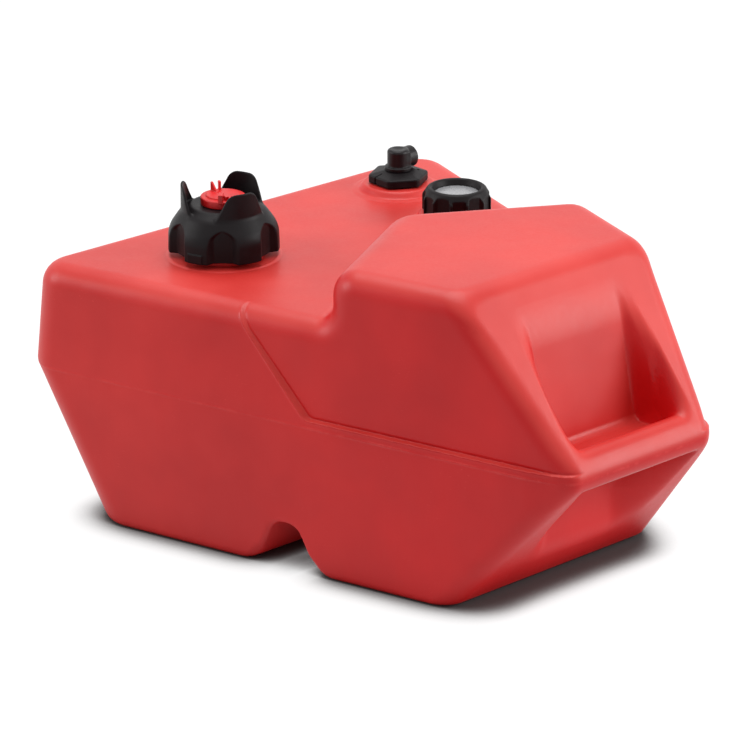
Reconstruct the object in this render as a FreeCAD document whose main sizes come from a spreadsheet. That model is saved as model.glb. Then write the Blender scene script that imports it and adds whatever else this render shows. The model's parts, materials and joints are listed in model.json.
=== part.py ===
# Portable outboard fuel tank: a blow-moulded wedge-shaped shell with a vented filler cap,
# a float gauge and a pickup fitting. Millimetres, +Z up, origin on the ground under the
# middle of the shell, +X towards the carrying handle.
import FreeCAD, Part
import Sketcher
import math
import os

doc = FreeCAD.newDocument("outboard_fuel_tank")

# driving dimensions
drivingSizes = {
    # shell: plan and levels
    "tankLength": 468, "wideEndWidth": 432, "handleEndWidth": 151,
    "partingHeight": 118.7, "deckHeight": 199, "humpHeight": 240.5,
    "wideBottomInset": 57.7, "handleBottomInset": 100.4, "bottomSideInset": 1.5,
    "deckEndInset": 3.7, "deckSideInset": 6, "handleTopInset": 103,
    "flankRecess": 4.5, "humpSideInset": 8, "humpCornerX": 41, "humpApexX": -35,
    "ledgeHeight": 5.5, "flankStepBottomX": 18.5, "flankStepTopX": -37.6,
    "shellWall": 4.5,
    # shell: rounding
    "cornerRadius": 25, "handleCornerRadius": 17, "deckEdgeRadius": 18, "bottomEdgeRadius": 7.5,
    "humpEdgeRadius": 20, "humpCornerRadius": 18, "humpApexRadius": 32,
    # carrying handle and strap groove
    "gripFloorHeight": 121, "gripBackX": 169, "gripBackTopX": 149.5, "gripBackWidth": 98,
    "gripFrontWidth": 110, "gripBarX": 204, "gripBarRadius": 11,
    "lowerGripCeiling": 109, "lowerGripBackX": 163, "lowerGripFrontWidth": 124,
    "lowerGripBackWidth": 96,
    "grooveWidth": 54, "grooveTopWidth": 38, "grooveHeight": 37, "grooveTopRadius": 16,
    "grooveX": -1,
    # filler neck and cap
    "fillerFromEnd": 94.7, "fillerY": -84.7, "fillerNeckRadius": 31.5, "fillerBoreRadius": 27,
    "fillerNeckHeight": 27, "fillerRingRadius": 50, "fillerRingHeight": 0.8,
    "skirtGap": 5, "gasketThickness": 2, "washerThickness": 0.8,
    "capRadius": 43, "capHeight": 36, "capShoulderDrop": 10, "capPlateauRadius": 27,
    "capRoof": 3, "capLobes": 6, "capTurn": -40.6,
    "capRecessWidth": 25, "capRecessHeight": 25, "capRecessFloor": 38.4, "capRecessRadius": 7,
    "wingRadius": 32.5, "wingThickness": 2.6, "wingBaseWidth": 41, "wingTopWidth": 21,
    "wingTop": 52, "wingCornerRadius": 7, "wingCount": 3,
    "insertWall": 3.4, "insertPlate": 3, "turretRadius": 14, "threadClearance": 0.3,
    "fitClearance": 0.05, "slipClearance": 0.3, "sealGap": 0.2,
    # vent valve
    "knobRadius": 16.8, "knobHeight": 6, "knobTierRadius": 12, "knobTierHeight": 1.2,
    "knobStemRadius": 5, "knobLift": 0.3, "earHeight": 7, "earWidth": 4.5, "earThickness": 2.4,
    "earSpacing": 8, "ventChamberRadius": 7, "ventSeatRadius": 2.8, "needleRadius": 2.4,
    "needleHeadRadius": 6.2, "needleHeadHeight": 1,
    "knobLipRadius": 5.7, "knobLipHeight": 0.9, "ventSealRadius": 0.8,
    "breatherOffset": 20, "breatherHoleRadius": 2.4, "poppetRadius": 5, "poppetThickness": 1.5,
    "poppetStemRadius": 1.2, "clipRadius": 3, "clipThickness": 0.8, "springWire": 0.3,
    "breatherSpringRadius": 2.1, "breatherSpringHeight": 2.2, "breatherSpringTurns": 3,
    # fuel gauge
    "gaugeFromEnd": 154, "gaugeY": 101.5, "gaugeBossRadius": 33, "gaugeBossTopRadius": 28,
    "gaugeBossHeight": 6.5, "gaugeNeckRadius": 21, "gaugeNeckHeight": 15, "gaugeBoreRadius": 17.5,
    "gaugeCapRadius": 27.5, "gaugeCapHeight": 18, "gaugeCapChamfer": 6, "gaugeWindowRadius": 16.5,
    "gaugeScallops": 8, "gaugeScallopWidth": 13, "gaugeScallopHeight": 12,
    "gaugeScallopFloor": 25.4, "gaugeGasketThickness": 1.5, "gaugeFlange": 2,
    "gaugeCupDepth": 19, "gaugeCupWall": 1.5, "lensThickness": 2, "lensRadius": 19,
    "dialDrop": 6, "dialThickness": 0.8, "pointerLength": 12, "pointerWidth": 1.8,
    "pointerThickness": 0.8, "pointerGap": 1, "spindleRadius": 1, "stripWidth": 6,
    "stripThickness": 0.8, "stripTwist": 270, "guideRadius": 1.5, "guideSpacing": 22,
    "footRadius": 15, "footThickness": 3, "footHeight": 22, "floatRadius": 15.8,
    "floatHeight": 24, "floatTravel": 140, "floatBridge": 1.5, "floatChannelRadius": 4,
    # pickup
    "pickupFromEnd": 66, "pickupY": 119, "pickupBossRadius": 34, "pickupBossTopRadius": 27,
    "pickupBossHeight": 6, "pickupGasketThickness": 1, "hexWidth": 41.3, "hexHeight": 9,
    "hexChamfer": 2.2, "stemRadius": 10.3, "stemLength": 17, "pickupBoreRadius": 10.5,
    "spigotRadius": 6, "spigotLength": 10, "footRingRadius": 10.4, "footRingHeight": 3.2,
    "swivelGap": 0.2,
    "snapLipRadius": 6.6, "snapLipHeight": 1.4, "postRadius": 8.8, "postHeight": 16.2,
    "outletAngle": 92, "outletHeight": 8.2, "outletRadius": 7.8, "outletLength": 14.5,
    "portRadius": 5.55, "portDepth": 11, "passageRadius": 3, "elbowSealRadius": 1,
    "checkBallRadius": 4, "checkChamberRadius": 4.6, "checkSeatRadius": 8, "checkSeatHeight": 6,
    "checkHoleRadius": 3, "checkSeatFlange": 2, "nippleRadius": 3.4, "nippleLength": 9,
    "checkSpringRadius": 2.6, "checkSpringTurns": 4,
    "tubeRadius": 5, "tubeWall": 1.5, "tubeEndHeight": 22, "strainerRadius": 6.5,
    "strainerHeight": 20, "strainerWall": 0.9, "strainerFloor": 14,
}


def fillSheet():
    sheet = doc.addObject("Spreadsheet::Sheet", "sizes")
    for row, (alias, number) in enumerate(drivingSizes.items(), start=1):
        sheet.set(f"A{row}", alias)
        sheet.set(f"B{row}", str(number))
        sheet.setAlias(f"B{row}", alias)
    doc.recompute()
    return sheet


sizes = fillSheet()


def size(alias):
    return float(getattr(sizes, alias))


# drawing helpers
def originPlane(body, role):
    return next(feature for feature in body.Origin.OriginFeatures if feature.Role == role)


def newBody(name):
    return doc.addObject("PartDesign::Body", name)


def planeSketch(body, name, role, offset="0"):
    sketch = body.newObject("Sketcher::SketchObject", name)
    sketch.AttachmentSupport = [(originPlane(body, role), "")]
    sketch.MapMode = "FlatFace"
    if offset != "0":
        sketch.setExpression("AttachmentOffset.Base.z", offset)
    return sketch


def bindPoint(sketch, geometry, end, across, along):
    for kind, expression in (("DistanceX", across), ("DistanceY", along)):
        if expression == "0":
            axis = -2 if kind == "DistanceX" else -1
            sketch.addConstraint(Sketcher.Constraint("PointOnObject", geometry, end, axis))
            continue
        number = sketch.evalExpression(expression)
        index = sketch.addConstraint(Sketcher.Constraint(kind, geometry, end, float(number)))
        sketch.setExpression(f"Constraints[{index}]", expression)


# closed outline; a corner with a third entry is rounded to that radius
def drawPolygon(sketch, corners):
    places = [FreeCAD.Vector(float(sketch.evalExpression(corner[0])),
                             float(sketch.evalExpression(corner[1])), 0) for corner in corners]
    first = sketch.GeometryCount
    count = len(places)
    for i in range(count):
        sketch.addGeometry(Part.LineSegment(places[i], places[(i + 1) % count]), False)
    for i in range(count):
        sketch.addConstraint(
            Sketcher.Constraint("Coincident", first + i, 2, first + (i + 1) % count, 1))
    for i, corner in enumerate(corners):
        bindPoint(sketch, first + i, 1, corner[0], corner[1])
    for i, corner in enumerate(corners):
        if len(corner) == 3:
            radius = float(sketch.evalExpression(corner[2]))
            sketch.fillet(first + i, 1, radius, True, True)
            arc = sketch.GeometryCount - 1
            while sketch.Geometry[arc].TypeId != "Part::GeomArcOfCircle":
                arc -= 1
            index = sketch.addConstraint(Sketcher.Constraint("Radius", arc, radius))
            sketch.setExpression(f"Constraints[{index}]", corner[2])


def drawCircle(sketch, across, along, radius):
    number = float(sketch.evalExpression(radius))
    place = FreeCAD.Vector(float(sketch.evalExpression(across)), float(sketch.evalExpression(along)), 0)
    circle = sketch.addGeometry(Part.Circle(place, FreeCAD.Vector(0, 0, 1), number), False)
    bindPoint(sketch, circle, 3, across, along)
    index = sketch.addConstraint(Sketcher.Constraint("Radius", circle, number))
    sketch.setExpression(f"Constraints[{index}]", radius)


def edgesWhere(shape, chosen):
    return [f"Edge{i}" for i, edge in enumerate(shape.Edges, start=1) if chosen(edge)]


def roundEdges(body, name, chosen, radius):
    doc.recompute()
    base = body.Tip
    fillet = body.newObject("PartDesign::Fillet", name)
    fillet.Base = (base, edgesWhere(base.Shape, chosen))
    fillet.setExpression("Radius", radius)
    doc.recompute()
    return fillet


# one sloping side wall, cut on the near side and mirrored to the far side
def flankCut(body, name, insets):
    sketch = planeSketch(body, name + "_line", "YZ_Plane")
    sketch.AttachmentOffset = FreeCAD.Placement(
        FreeCAD.Vector(), FreeCAD.Rotation(FreeCAD.Vector(0, 1, 0), 10))
    sketch.setExpression("AttachmentOffset.Rotation.Angle", taper)
    outside = "-3 * sizes.wideEndWidth"
    corners = [(f"{inset} - {flankDistance}", level) for inset, level in insets]
    corners += [(outside, insets[-1][1]), (outside, insets[0][1])]
    drawPolygon(sketch, corners)
    pocket = body.newObject("PartDesign::Pocket", name)
    pocket.Profile = sketch
    pocket.SideType = "Symmetric"
    pocket.setExpression("Length", "4 * sizes.tankLength")
    doc.recompute()
    mirrored = body.newObject("PartDesign::Mirrored", name + "_far")
    mirrored.Originals = [pocket]
    mirrored.MirrorPlane = (originPlane(body, "XZ_Plane"), [""])
    body.Tip = mirrored
    doc.recompute()
    return mirrored


def wedgeForm(name, profile, insets):
    body = newBody(name)
    addPad(body, name + "_pad", "XZ_Plane", profile, "0", "1.5 * sizes.wideEndWidth", "Symmetric")
    doc.recompute()
    flankCut(body, name + "_flank", insets)
    return body


def slanted(edge):
    return abs(edge.BoundBox.ZMax - edge.BoundBox.ZMin) > 1


def atLevel(edge, level):
    return abs(edge.BoundBox.ZMax - level) < 0.01 and abs(edge.BoundBox.ZMin - level) < 0.01


def roundCorners(body, name, inset):
    roundEdges(body, name + "_corners", lambda edge: slanted(edge) and edge.CenterOfMass.x < 0,
               f"sizes.cornerRadius - {inset}")
    roundEdges(body, name + "_ends", lambda edge: slanted(edge) and edge.CenterOfMass.x > 0,
               f"sizes.handleCornerRadius - {inset}")


# shell geometry
halfLength = "sizes.tankLength / 2"
fillerX = f"sizes.fillerFromEnd - {halfLength}"
gaugeX = f"sizes.gaugeFromEnd - {halfLength}"
pickupX = f"sizes.pickupFromEnd - {halfLength}"
narrowing = "((sizes.wideEndWidth - sizes.handleEndWidth) / (2 * sizes.tankLength))"
taper = f"atan({narrowing})"
flankDistance = f"(sizes.wideEndWidth + sizes.handleEndWidth) / 4 * cos({taper})"


def share(level):
    return f"((({level}) - sizes.partingHeight) / (sizes.humpHeight - sizes.partingHeight))"


def lowerForm(name, inset):
    body = wedgeForm(
        name,
        [(f"-{halfLength} + sizes.wideBottomInset + {inset}", f"{inset}"),
         (f"{halfLength} - sizes.handleBottomInset - {inset}", f"{inset}"),
         (f"{halfLength} - {inset}", "sizes.partingHeight"),
         (f"-{halfLength} + {inset}", "sizes.partingHeight")],
        [(f"sizes.bottomSideInset + {inset}", "0"), (f"{inset}", "sizes.partingHeight")])
    roundCorners(body, name, inset)
    bottom = min(corner.Z for corner in body.Tip.Shape.Vertexes)
    roundEdges(body, name + "_foot", lambda edge: atLevel(edge, bottom),
               f"sizes.bottomEdgeRadius - {inset}")
    return body


def deckForm(name, inset, lowRecess, highRecess):
    level = f"sizes.deckHeight - {inset}"
    body = wedgeForm(
        name,
        [(f"-{halfLength} + {inset}", "sizes.partingHeight"),
         (f"{halfLength} - {inset}", "sizes.partingHeight"),
         (f"{halfLength} - sizes.handleTopInset * {share(level)} - {inset}", level),
         (f"-{halfLength} + sizes.deckEndInset + {inset}", level)],
        [(f"{lowRecess} + {inset}", "sizes.partingHeight"),
         (f"{highRecess} + {inset}", "sizes.deckHeight")])
    roundCorners(body, name, inset)
    top = max(corner.Z for corner in body.Tip.Shape.Vertexes)
    roundEdges(body, name + "_rim", lambda edge: atLevel(edge, top),
               f"sizes.deckEdgeRadius - {inset}")
    return body


def humpForm(name, inset):
    level = f"sizes.humpHeight - {inset}"
    body = wedgeForm(
        name,
        [(f"sizes.humpApexX - 10", "sizes.partingHeight"),
         (f"{halfLength} - {inset}", "sizes.partingHeight"),
         (f"{halfLength} - sizes.handleTopInset * {share(level)} - {inset}", level),
         (f"sizes.humpApexX - 10", level)],
        [(f"sizes.flankRecess + {inset}", "sizes.partingHeight"),
         (f"sizes.humpSideInset + {inset}", "sizes.humpHeight")])
    front = planeSketch(body, name + "_front", "XY_Plane")
    slope = "(sizes.humpCornerX - sizes.humpApexX) / (sizes.wideEndWidth / 3)"
    reach = "sizes.wideEndWidth"
    drawPolygon(front, [(f"sizes.humpApexX + {inset}", "0"),
                        (f"sizes.humpApexX + {inset} + {slope} * {reach}", reach),
                        (f"-{halfLength}", reach), (f"-{halfLength}", f"-{reach}"),
                        (f"sizes.humpApexX + {inset} + {slope} * {reach}", f"-{reach}")])
    pocket = body.newObject("PartDesign::Pocket", name + "_front_cut")
    pocket.Profile = front
    pocket.SideType = "Symmetric"
    pocket.setExpression("Length", "4 * sizes.humpHeight")
    doc.recompute()
    cornerX = size("humpCornerX")
    roundEdges(body, name + "_ends", lambda edge: slanted(edge) and edge.CenterOfMass.x > 2 * cornerX,
               f"sizes.handleCornerRadius - {inset}")
    roundEdges(body, name + "_apex",
               lambda edge: slanted(edge) and abs(edge.CenterOfMass.y) < 1 and edge.CenterOfMass.x < cornerX,
               f"sizes.humpApexRadius - {inset}")
    roundEdges(body, name + "_shoulders",
               lambda edge: slanted(edge) and abs(edge.CenterOfMass.y) > 60
               and edge.CenterOfMass.x < 2 * cornerX,
               f"sizes.humpCornerRadius - {inset}")
    top = max(corner.Z for corner in body.Tip.Shape.Vertexes)
    roundEdges(body, name + "_rim", lambda edge: atLevel(edge, top),
               f"sizes.humpEdgeRadius - {inset}")
    return body


def addPad(body, name, role, corners, offset, length, reach="One side"):
    sketch = planeSketch(body, name + "_outline", role, offset)
    drawPolygon(sketch, corners)
    pad = body.newObject("PartDesign::Pad", name)
    pad.Profile = sketch
    pad.SideType = reach
    pad.setExpression("Length", length)
    return pad


def addPocket(body, name, role, corners, offset, length, reach="One side", reversed=False):
    sketch = planeSketch(body, name + "_outline", role, offset)
    drawPolygon(sketch, corners)
    pocket = body.newObject("PartDesign::Pocket", name)
    pocket.Profile = sketch
    pocket.SideType = reach
    pocket.Reversed = reversed
    pocket.setExpression("Length", length)
    return pocket


def addTurning(body, name, corners):
    sketch = planeSketch(body, name + "_profile", "XZ_Plane")
    drawPolygon(sketch, corners)
    turning = body.newObject("PartDesign::Revolution", name)
    turning.Profile = sketch
    turning.ReferenceAxis = (sketch, ["V_Axis"])
    turning.Angle = 360
    return turning


def repeatRound(body, feature, count):
    pattern = body.newObject("PartDesign::PolarPattern", feature.Name + "_round")
    pattern.Originals = [feature]
    pattern.Axis = (originPlane(body, "Z_Axis"), [""])
    pattern.Angle = 360
    pattern.setExpression("Occurrences", count)
    body.Tip = pattern
    return pattern


def place(piece, x="0", y="0", z="0", turn=None):
    if turn:
        piece.Placement = FreeCAD.Placement(FreeCAD.Vector(), FreeCAD.Rotation(FreeCAD.Vector(0, 0, 1), 10))
        piece.setExpression("Placement.Rotation.Angle", turn)
    for axis, expression in (("x", x), ("y", y), ("z", z)):
        if expression != "0":
            piece.setExpression(f"Placement.Base.{axis}", expression)
    return piece


def turned(name, corners, x="0", y="0", z="0", turn=None):
    body = newBody(name)
    addTurning(body, name + "_turning", corners)
    return place(body, x, y, z, turn)


def ring(inner, outer, low, high):
    return [(inner, low), (outer, low), (outer, high), (inner, high)]


def combine(name, kind, base, tools):
    if kind == "Cut":
        result = base
        for index, tool in enumerate(tools):
            cut = doc.addObject("Part::Cut", name if index == len(tools) - 1 else f"{name}_step{index}")
            cut.Base = result
            cut.Tool = tool
            result = cut
    else:
        result = doc.addObject("Part::MultiFuse" if kind == "Fuse" else "Part::MultiCommon", name)
        result.Shapes = [base] + tools
    result.Refine = True
    return result


# tank shell
# everything above the ledge and behind the sloping step in the side walls
def flankRegion(name):
    body = newBody(name)
    low = "sizes.partingHeight + sizes.ledgeHeight"
    rise = f"(sizes.humpHeight * 1.2 - {low}) / (sizes.deckHeight - {low})"
    topX = f"sizes.flankStepBottomX + (sizes.flankStepTopX - sizes.flankStepBottomX) * {rise}"
    addPad(body, name + "_pad", "XZ_Plane",
           [("sizes.flankStepBottomX", low), ("sizes.tankLength", low),
            ("sizes.tankLength", "sizes.humpHeight * 1.2"), (topX, "sizes.humpHeight * 1.2")],
           "0", "2 * sizes.wideEndWidth", "Symmetric")
    return body


# finger pocket above the handle bar, grown by a margin for the cavity's walls
def upperGrip(name, margin):
    side = newBody(name + "_side")
    floor = f"sizes.gripFloorHeight - {margin}"
    top = "sizes.humpHeight * 1.1"
    lean = "(sizes.gripBackX - sizes.gripBackTopX) / (sizes.deckHeight + 10 - sizes.gripFloorHeight)"
    back = f"sizes.gripBackX - {margin}"
    endRise = "(sizes.humpHeight - sizes.partingHeight) / sizes.handleTopInset"
    barTop = f"sizes.partingHeight + ({halfLength} - sizes.gripBarX) * {endRise}"
    beyond = f"{barTop} - (sizes.tankLength * 0.6 - sizes.gripBarX) * {endRise}"
    corners = [(back, floor), ("sizes.gripBarX", floor), ("sizes.gripBarX", barTop, "sizes.gripBarRadius"),
               ("sizes.tankLength * 0.6", beyond),
               ("sizes.tankLength * 0.6", top),
               (f"{back} - ({top} - ({floor})) * {lean}", top)]
    if margin != "0":
        corners = [(back, floor), ("sizes.tankLength * 0.6", floor), ("sizes.tankLength * 0.6", top),
                   (f"{back} - ({top} - ({floor})) * {lean}", top)]
    addPad(side, name + "_side_pad", "XZ_Plane", corners, "0", "sizes.wideEndWidth", "Symmetric")
    return clipGrip(name, side, "sizes.gripBackX", "sizes.gripBackWidth", "sizes.gripBarX",
                    "sizes.gripFrontWidth", margin)


# finger pocket below the handle bar
def lowerGrip(name, margin):
    side = newBody(name + "_side")
    ceiling = f"sizes.lowerGripCeiling + {margin}"
    back = f"sizes.lowerGripBackX - {margin}"
    addPad(side, name + "_side_pad", "XZ_Plane",
           [(back, "-sizes.partingHeight"), ("sizes.tankLength * 0.6", "-sizes.partingHeight"),
            ("sizes.tankLength * 0.6", ceiling), (back, ceiling)],
           "0", "sizes.wideEndWidth", "Symmetric")
    return clipGrip(name, side, "sizes.lowerGripBackX", "sizes.lowerGripBackWidth",
                    f"{halfLength}", "sizes.lowerGripFrontWidth", margin)


def clipGrip(name, side, backX, backWidth, frontX, frontWidth, margin):
    plan = newBody(name + "_plan")
    spread = f"(({frontWidth}) - ({backWidth})) / 2 / (({frontX}) - ({backX}))"
    near = f"({backWidth}) / 2 - 40 * {spread} + {margin}"
    far = f"({backWidth}) / 2 + (sizes.tankLength * 0.6 - ({backX})) * {spread} + {margin}"
    start = f"({backX}) - 40"
    end = "sizes.tankLength * 0.6"
    addPad(plan, name + "_plan_pad", "XY_Plane",
           [(start, f"-({near})"), (end, f"-({far})"), (end, far), (start, near)],
           "0", "4 * sizes.humpHeight", "Symmetric")
    return combine(name, "Common", side, [plan])


def strapGroove(name, margin):
    body = newBody(name)
    half = "sizes.grooveWidth / 2"
    topHalf = "sizes.grooveTopWidth / 2"
    addPad(body, name + "_pad", "XZ_Plane",
           [(f"sizes.grooveX - {half} - {margin}", "-1"), (f"sizes.grooveX + {half} + {margin}", "-1"),
            (f"sizes.grooveX + {topHalf} + {margin}", f"sizes.grooveHeight + {margin}",
             f"sizes.grooveTopRadius + {margin}"),
            (f"sizes.grooveX - {topHalf} - {margin}", f"sizes.grooveHeight + {margin}",
             f"sizes.grooveTopRadius + {margin}")],
           "0", "2 * sizes.wideEndWidth", "Symmetric")
    return body


def tankShell():
    region = flankRegion("flank_region")
    lower = lowerForm("lower_form", "0")
    proud = deckForm("proud_form", "0", "0", "sizes.deckSideInset")
    recessed = deckForm("recessed_form", "0", "sizes.flankRecess", "sizes.deckSideInset + 1")
    hump = humpForm("hump_form", "0")
    proudPart = combine("proud_part", "Cut", proud, [region])
    recessedPart = combine("recessed_part", "Common", recessed, [region])
    filler = turned("filler_neck", [("0", "0"), ("sizes.fillerRingRadius", "0"),
                                    ("sizes.fillerRingRadius", "1 + sizes.fillerRingHeight"),
                                    ("sizes.fillerNeckRadius", "1 + sizes.fillerRingHeight"),
                                    ("sizes.fillerNeckRadius", "1 + sizes.fillerNeckHeight"),
                                    ("0", "1 + sizes.fillerNeckHeight")],
                    fillerX, "sizes.fillerY", "sizes.deckHeight - 1")
    gauge = turned("gauge_neck", [("0", "0"), ("sizes.gaugeBossRadius", "0"),
                                  ("sizes.gaugeBossRadius", "1"),
                                  ("sizes.gaugeBossTopRadius", "1 + sizes.gaugeBossHeight"),
                                  ("sizes.gaugeNeckRadius", "1 + sizes.gaugeBossHeight"),
                                  ("sizes.gaugeNeckRadius", "1 + sizes.gaugeNeckHeight"),
                                  ("0", "1 + sizes.gaugeNeckHeight")],
                   gaugeX, "sizes.gaugeY", "sizes.deckHeight - 1")
    pickup = turned("pickup_neck", [("0", "0"), ("sizes.pickupBossRadius", "0"),
                                    ("sizes.pickupBossRadius", "1"),
                                    ("sizes.pickupBossTopRadius", "1 + sizes.pickupBossHeight"),
                                    ("0", "1 + sizes.pickupBossHeight")],
                    pickupX, "sizes.pickupY", "sizes.deckHeight - 1")
    outside = combine("outside_form", "Fuse", lower,
                      [proudPart, recessedPart, hump, filler, gauge, pickup])
    cavityLower = lowerForm("cavity_lower", "sizes.shellWall")
    cavityDeck = deckForm("cavity_deck", "sizes.shellWall", "sizes.flankRecess", "sizes.deckSideInset + 1")
    cavityHump = humpForm("cavity_hump", "sizes.shellWall")
    cavityAll = combine("cavity_all", "Fuse", cavityLower, [cavityDeck, cavityHump])
    cavity = combine("cavity_form", "Cut", cavityAll,
                     [upperGrip("cavity_upper_grip", "sizes.shellWall"),
                      lowerGrip("cavity_lower_grip", "sizes.shellWall"),
                      strapGroove("cavity_groove", "sizes.shellWall")])
    bores = [turned(name, ring("0", radius, "0", f"2 * sizes.shellWall + {height}"),
                    x, y, "sizes.deckHeight - 1.5 * sizes.shellWall")
             for name, radius, height, x, y in (
                 ("filler_bore", "sizes.fillerBoreRadius", "sizes.fillerNeckHeight",
                  fillerX, "sizes.fillerY"),
                 ("gauge_bore", "sizes.gaugeBoreRadius", "sizes.gaugeNeckHeight",
                  gaugeX, "sizes.gaugeY"),
                 ("pickup_bore", "sizes.pickupBoreRadius", "sizes.pickupBossHeight",
                  pickupX, "sizes.pickupY"))]
    return combine("tank_shell", "Cut", outside,
                   [cavity, upperGrip("upper_grip", "0"), lowerGrip("lower_grip", "0"),
                    strapGroove("strap_groove", "0")] + bores)


# filler cap
fillerAt = (fillerX, "sizes.fillerY", "sizes.deckHeight + sizes.skirtGap")
gasketLow = "sizes.fillerNeckHeight - sizes.skirtGap"
washerLow = f"{gasketLow} + sizes.gasketThickness"
plateLow = f"{washerLow} + sizes.washerThickness"
plateHigh = f"{plateLow} + sizes.insertPlate"
roofLow = "sizes.capHeight - sizes.capRoof"
insertBore = "sizes.fillerNeckRadius + sizes.threadClearance"
insertRadius = f"{insertBore} + sizes.insertWall"


def fillerGasket():
    inner = "sizes.fillerBoreRadius + sizes.sealGap"
    outer = "sizes.fillerNeckRadius - sizes.sealGap"
    return turned("filler_gasket", ring(inner, outer, gasketLow, washerLow), *fillerAt)


def slipWasher():
    inner = "sizes.fillerBoreRadius + 3 * sizes.sealGap"
    outer = "sizes.fillerNeckRadius - 2 * sizes.sealGap"
    return turned("slip_washer", ring(inner, outer, washerLow, plateLow), *fillerAt)


def fillerInsert():
    body = newBody("filler_insert")
    addTurning(body, "insert_turning",
               [("sizes.ventSeatRadius", plateLow), (insertBore, plateLow), (insertBore, "sizes.skirtGap"),
                (insertRadius, "sizes.skirtGap"), (insertRadius, plateHigh),
                ("sizes.turretRadius", plateHigh), ("sizes.turretRadius", roofLow),
                ("sizes.ventChamberRadius", roofLow), ("sizes.ventChamberRadius", plateHigh),
                ("sizes.ventSeatRadius", plateHigh)])
    hole = planeSketch(body, "breather_hole_circle", "XY_Plane", plateLow)
    drawCircle(hole, "sizes.breatherOffset", "0", "sizes.breatherHoleRadius")
    pocket = body.newObject("PartDesign::Pocket", "breather_hole")
    pocket.Profile = hole
    pocket.SideType = "Symmetric"
    pocket.setExpression("Length", "3 * sizes.insertPlate")
    return place(body, *fillerAt)


def fillerCap():
    shell = newBody("cap_shell")
    shoulder = "sizes.capHeight - sizes.capShoulderDrop"
    inner = f"{insertRadius} + sizes.slipClearance"
    addTurning(shell, "cap_turning",
               [("sizes.knobStemRadius + sizes.fitClearance", roofLow),
                ("sizes.capPlateauRadius", roofLow), (inner, f"{plateHigh} + sizes.slipClearance"),
                (inner, "0"),
                ("sizes.capRadius", "0"), ("sizes.capRadius - 0.6", shoulder, "10"),
                ("sizes.capPlateauRadius + 7", "sizes.capHeight - 1.5", "5"),
                ("sizes.capPlateauRadius", "sizes.capHeight"),
                ("sizes.knobStemRadius + sizes.fitClearance", "sizes.capHeight")])
    doc.recompute()
    halfRecess = "sizes.capRecessWidth / 2"
    recess = addPocket(shell, "cap_recess", "YZ_Plane",
                       [(f"-{halfRecess}", "-1"), (halfRecess, "-1"),
                        (halfRecess, "sizes.capRecessHeight", "sizes.capRecessRadius"),
                        (f"-{halfRecess}", "sizes.capRecessHeight", "sizes.capRecessRadius")],
                       "sizes.capRecessFloor", "sizes.capRadius", reversed=True)
    doc.recompute()
    repeatRound(shell, recess, "sizes.capLobes")
    wall = turned("wing_wall", ring("sizes.wingRadius - sizes.wingThickness", "sizes.wingRadius",
                                    f"{roofLow} + sizes.capRoof / 2", "sizes.wingTop"))
    profile = newBody("wing_profile")
    halfBase = "sizes.wingBaseWidth / 2"
    halfTop = "sizes.wingTopWidth / 2"
    wing = addPad(profile, "wing_pad", "YZ_Plane",
                  [(f"-{halfBase}", shoulder), (halfBase, shoulder),
                   (halfTop, "sizes.wingTop", "sizes.wingCornerRadius"),
                   (f"-{halfTop}", "sizes.wingTop", "sizes.wingCornerRadius")],
                  "sizes.wingRadius * 0.65", "sizes.wingRadius")
    doc.recompute()
    repeatRound(profile, wing, "sizes.wingCount")
    wings = combine("cap_wings", "Common", wall, [profile])
    place(wings, turn="180 / sizes.capLobes")
    cap = combine("filler_cap", "Fuse", shell, [wings])
    return place(cap, *fillerAt, turn="sizes.capTurn")


def ventKnob():
    body = newBody("vent_knob")
    low = "sizes.capHeight + sizes.knobLift"
    high = f"{low} + sizes.knobHeight"
    tier = f"{high} + sizes.knobTierHeight"
    lipLow = f"{roofLow} - sizes.knobLift - sizes.knobLipHeight"
    bore = "sizes.needleRadius + sizes.fitClearance"
    addTurning(body, "knob_turning",
               [(bore, lipLow), ("sizes.knobLipRadius", lipLow),
                ("sizes.knobLipRadius", f"{roofLow} - sizes.knobLift"),
                ("sizes.knobStemRadius", f"{roofLow} - sizes.knobLift"),
                ("sizes.knobStemRadius", low), ("sizes.knobRadius", low),
                ("sizes.knobRadius", high, "1"), ("sizes.knobTierRadius", high),
                ("sizes.knobTierRadius", tier), ("0", tier), ("0", f"{low} + 2"), (bore, f"{low} + 2")])
    doc.recompute()
    for side in ("-", ""):
        near = f"{side}sizes.earSpacing / 2 - sizes.earThickness / 2"
        far = f"{side}sizes.earSpacing / 2 + sizes.earThickness / 2"
        addPad(body, "ear" + ("_left" if side else "_right"), "XY_Plane",
               [(near, "-sizes.earWidth"), (far, "-sizes.earWidth"), (far, "sizes.earWidth"),
                (near, "sizes.earWidth")],
               high, "sizes.knobTierHeight + sizes.earHeight")
        doc.recompute()
    addPad(body, "knob_pointer", "XY_Plane",
           [("-2", "-sizes.knobRadius + 0.5"), ("2", "-sizes.knobRadius + 0.5"),
            ("2", "-sizes.knobRadius + 5"), ("-2", "-sizes.knobRadius + 5")],
           f"{high} - 1", "sizes.knobTierHeight + 2.5")
    return place(body, *fillerAt, turn="sizes.capTurn")


def ventNeedle():
    headLow = f"{plateHigh} + sizes.sealGap + 2 * sizes.ventSealRadius"
    return turned("vent_needle",
                  [("0", f"{plateLow} - 3"), ("sizes.needleRadius", f"{plateLow} - 3"),
                   ("sizes.needleRadius", headLow), ("sizes.needleHeadRadius", headLow),
                   ("sizes.needleHeadRadius", f"{headLow} + sizes.needleHeadHeight"),
                   ("sizes.needleRadius", f"{headLow} + sizes.needleHeadHeight"),
                   ("sizes.needleRadius", "sizes.capHeight - 1"), ("0", "sizes.capHeight - 1")],
                  *fillerAt)


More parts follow.
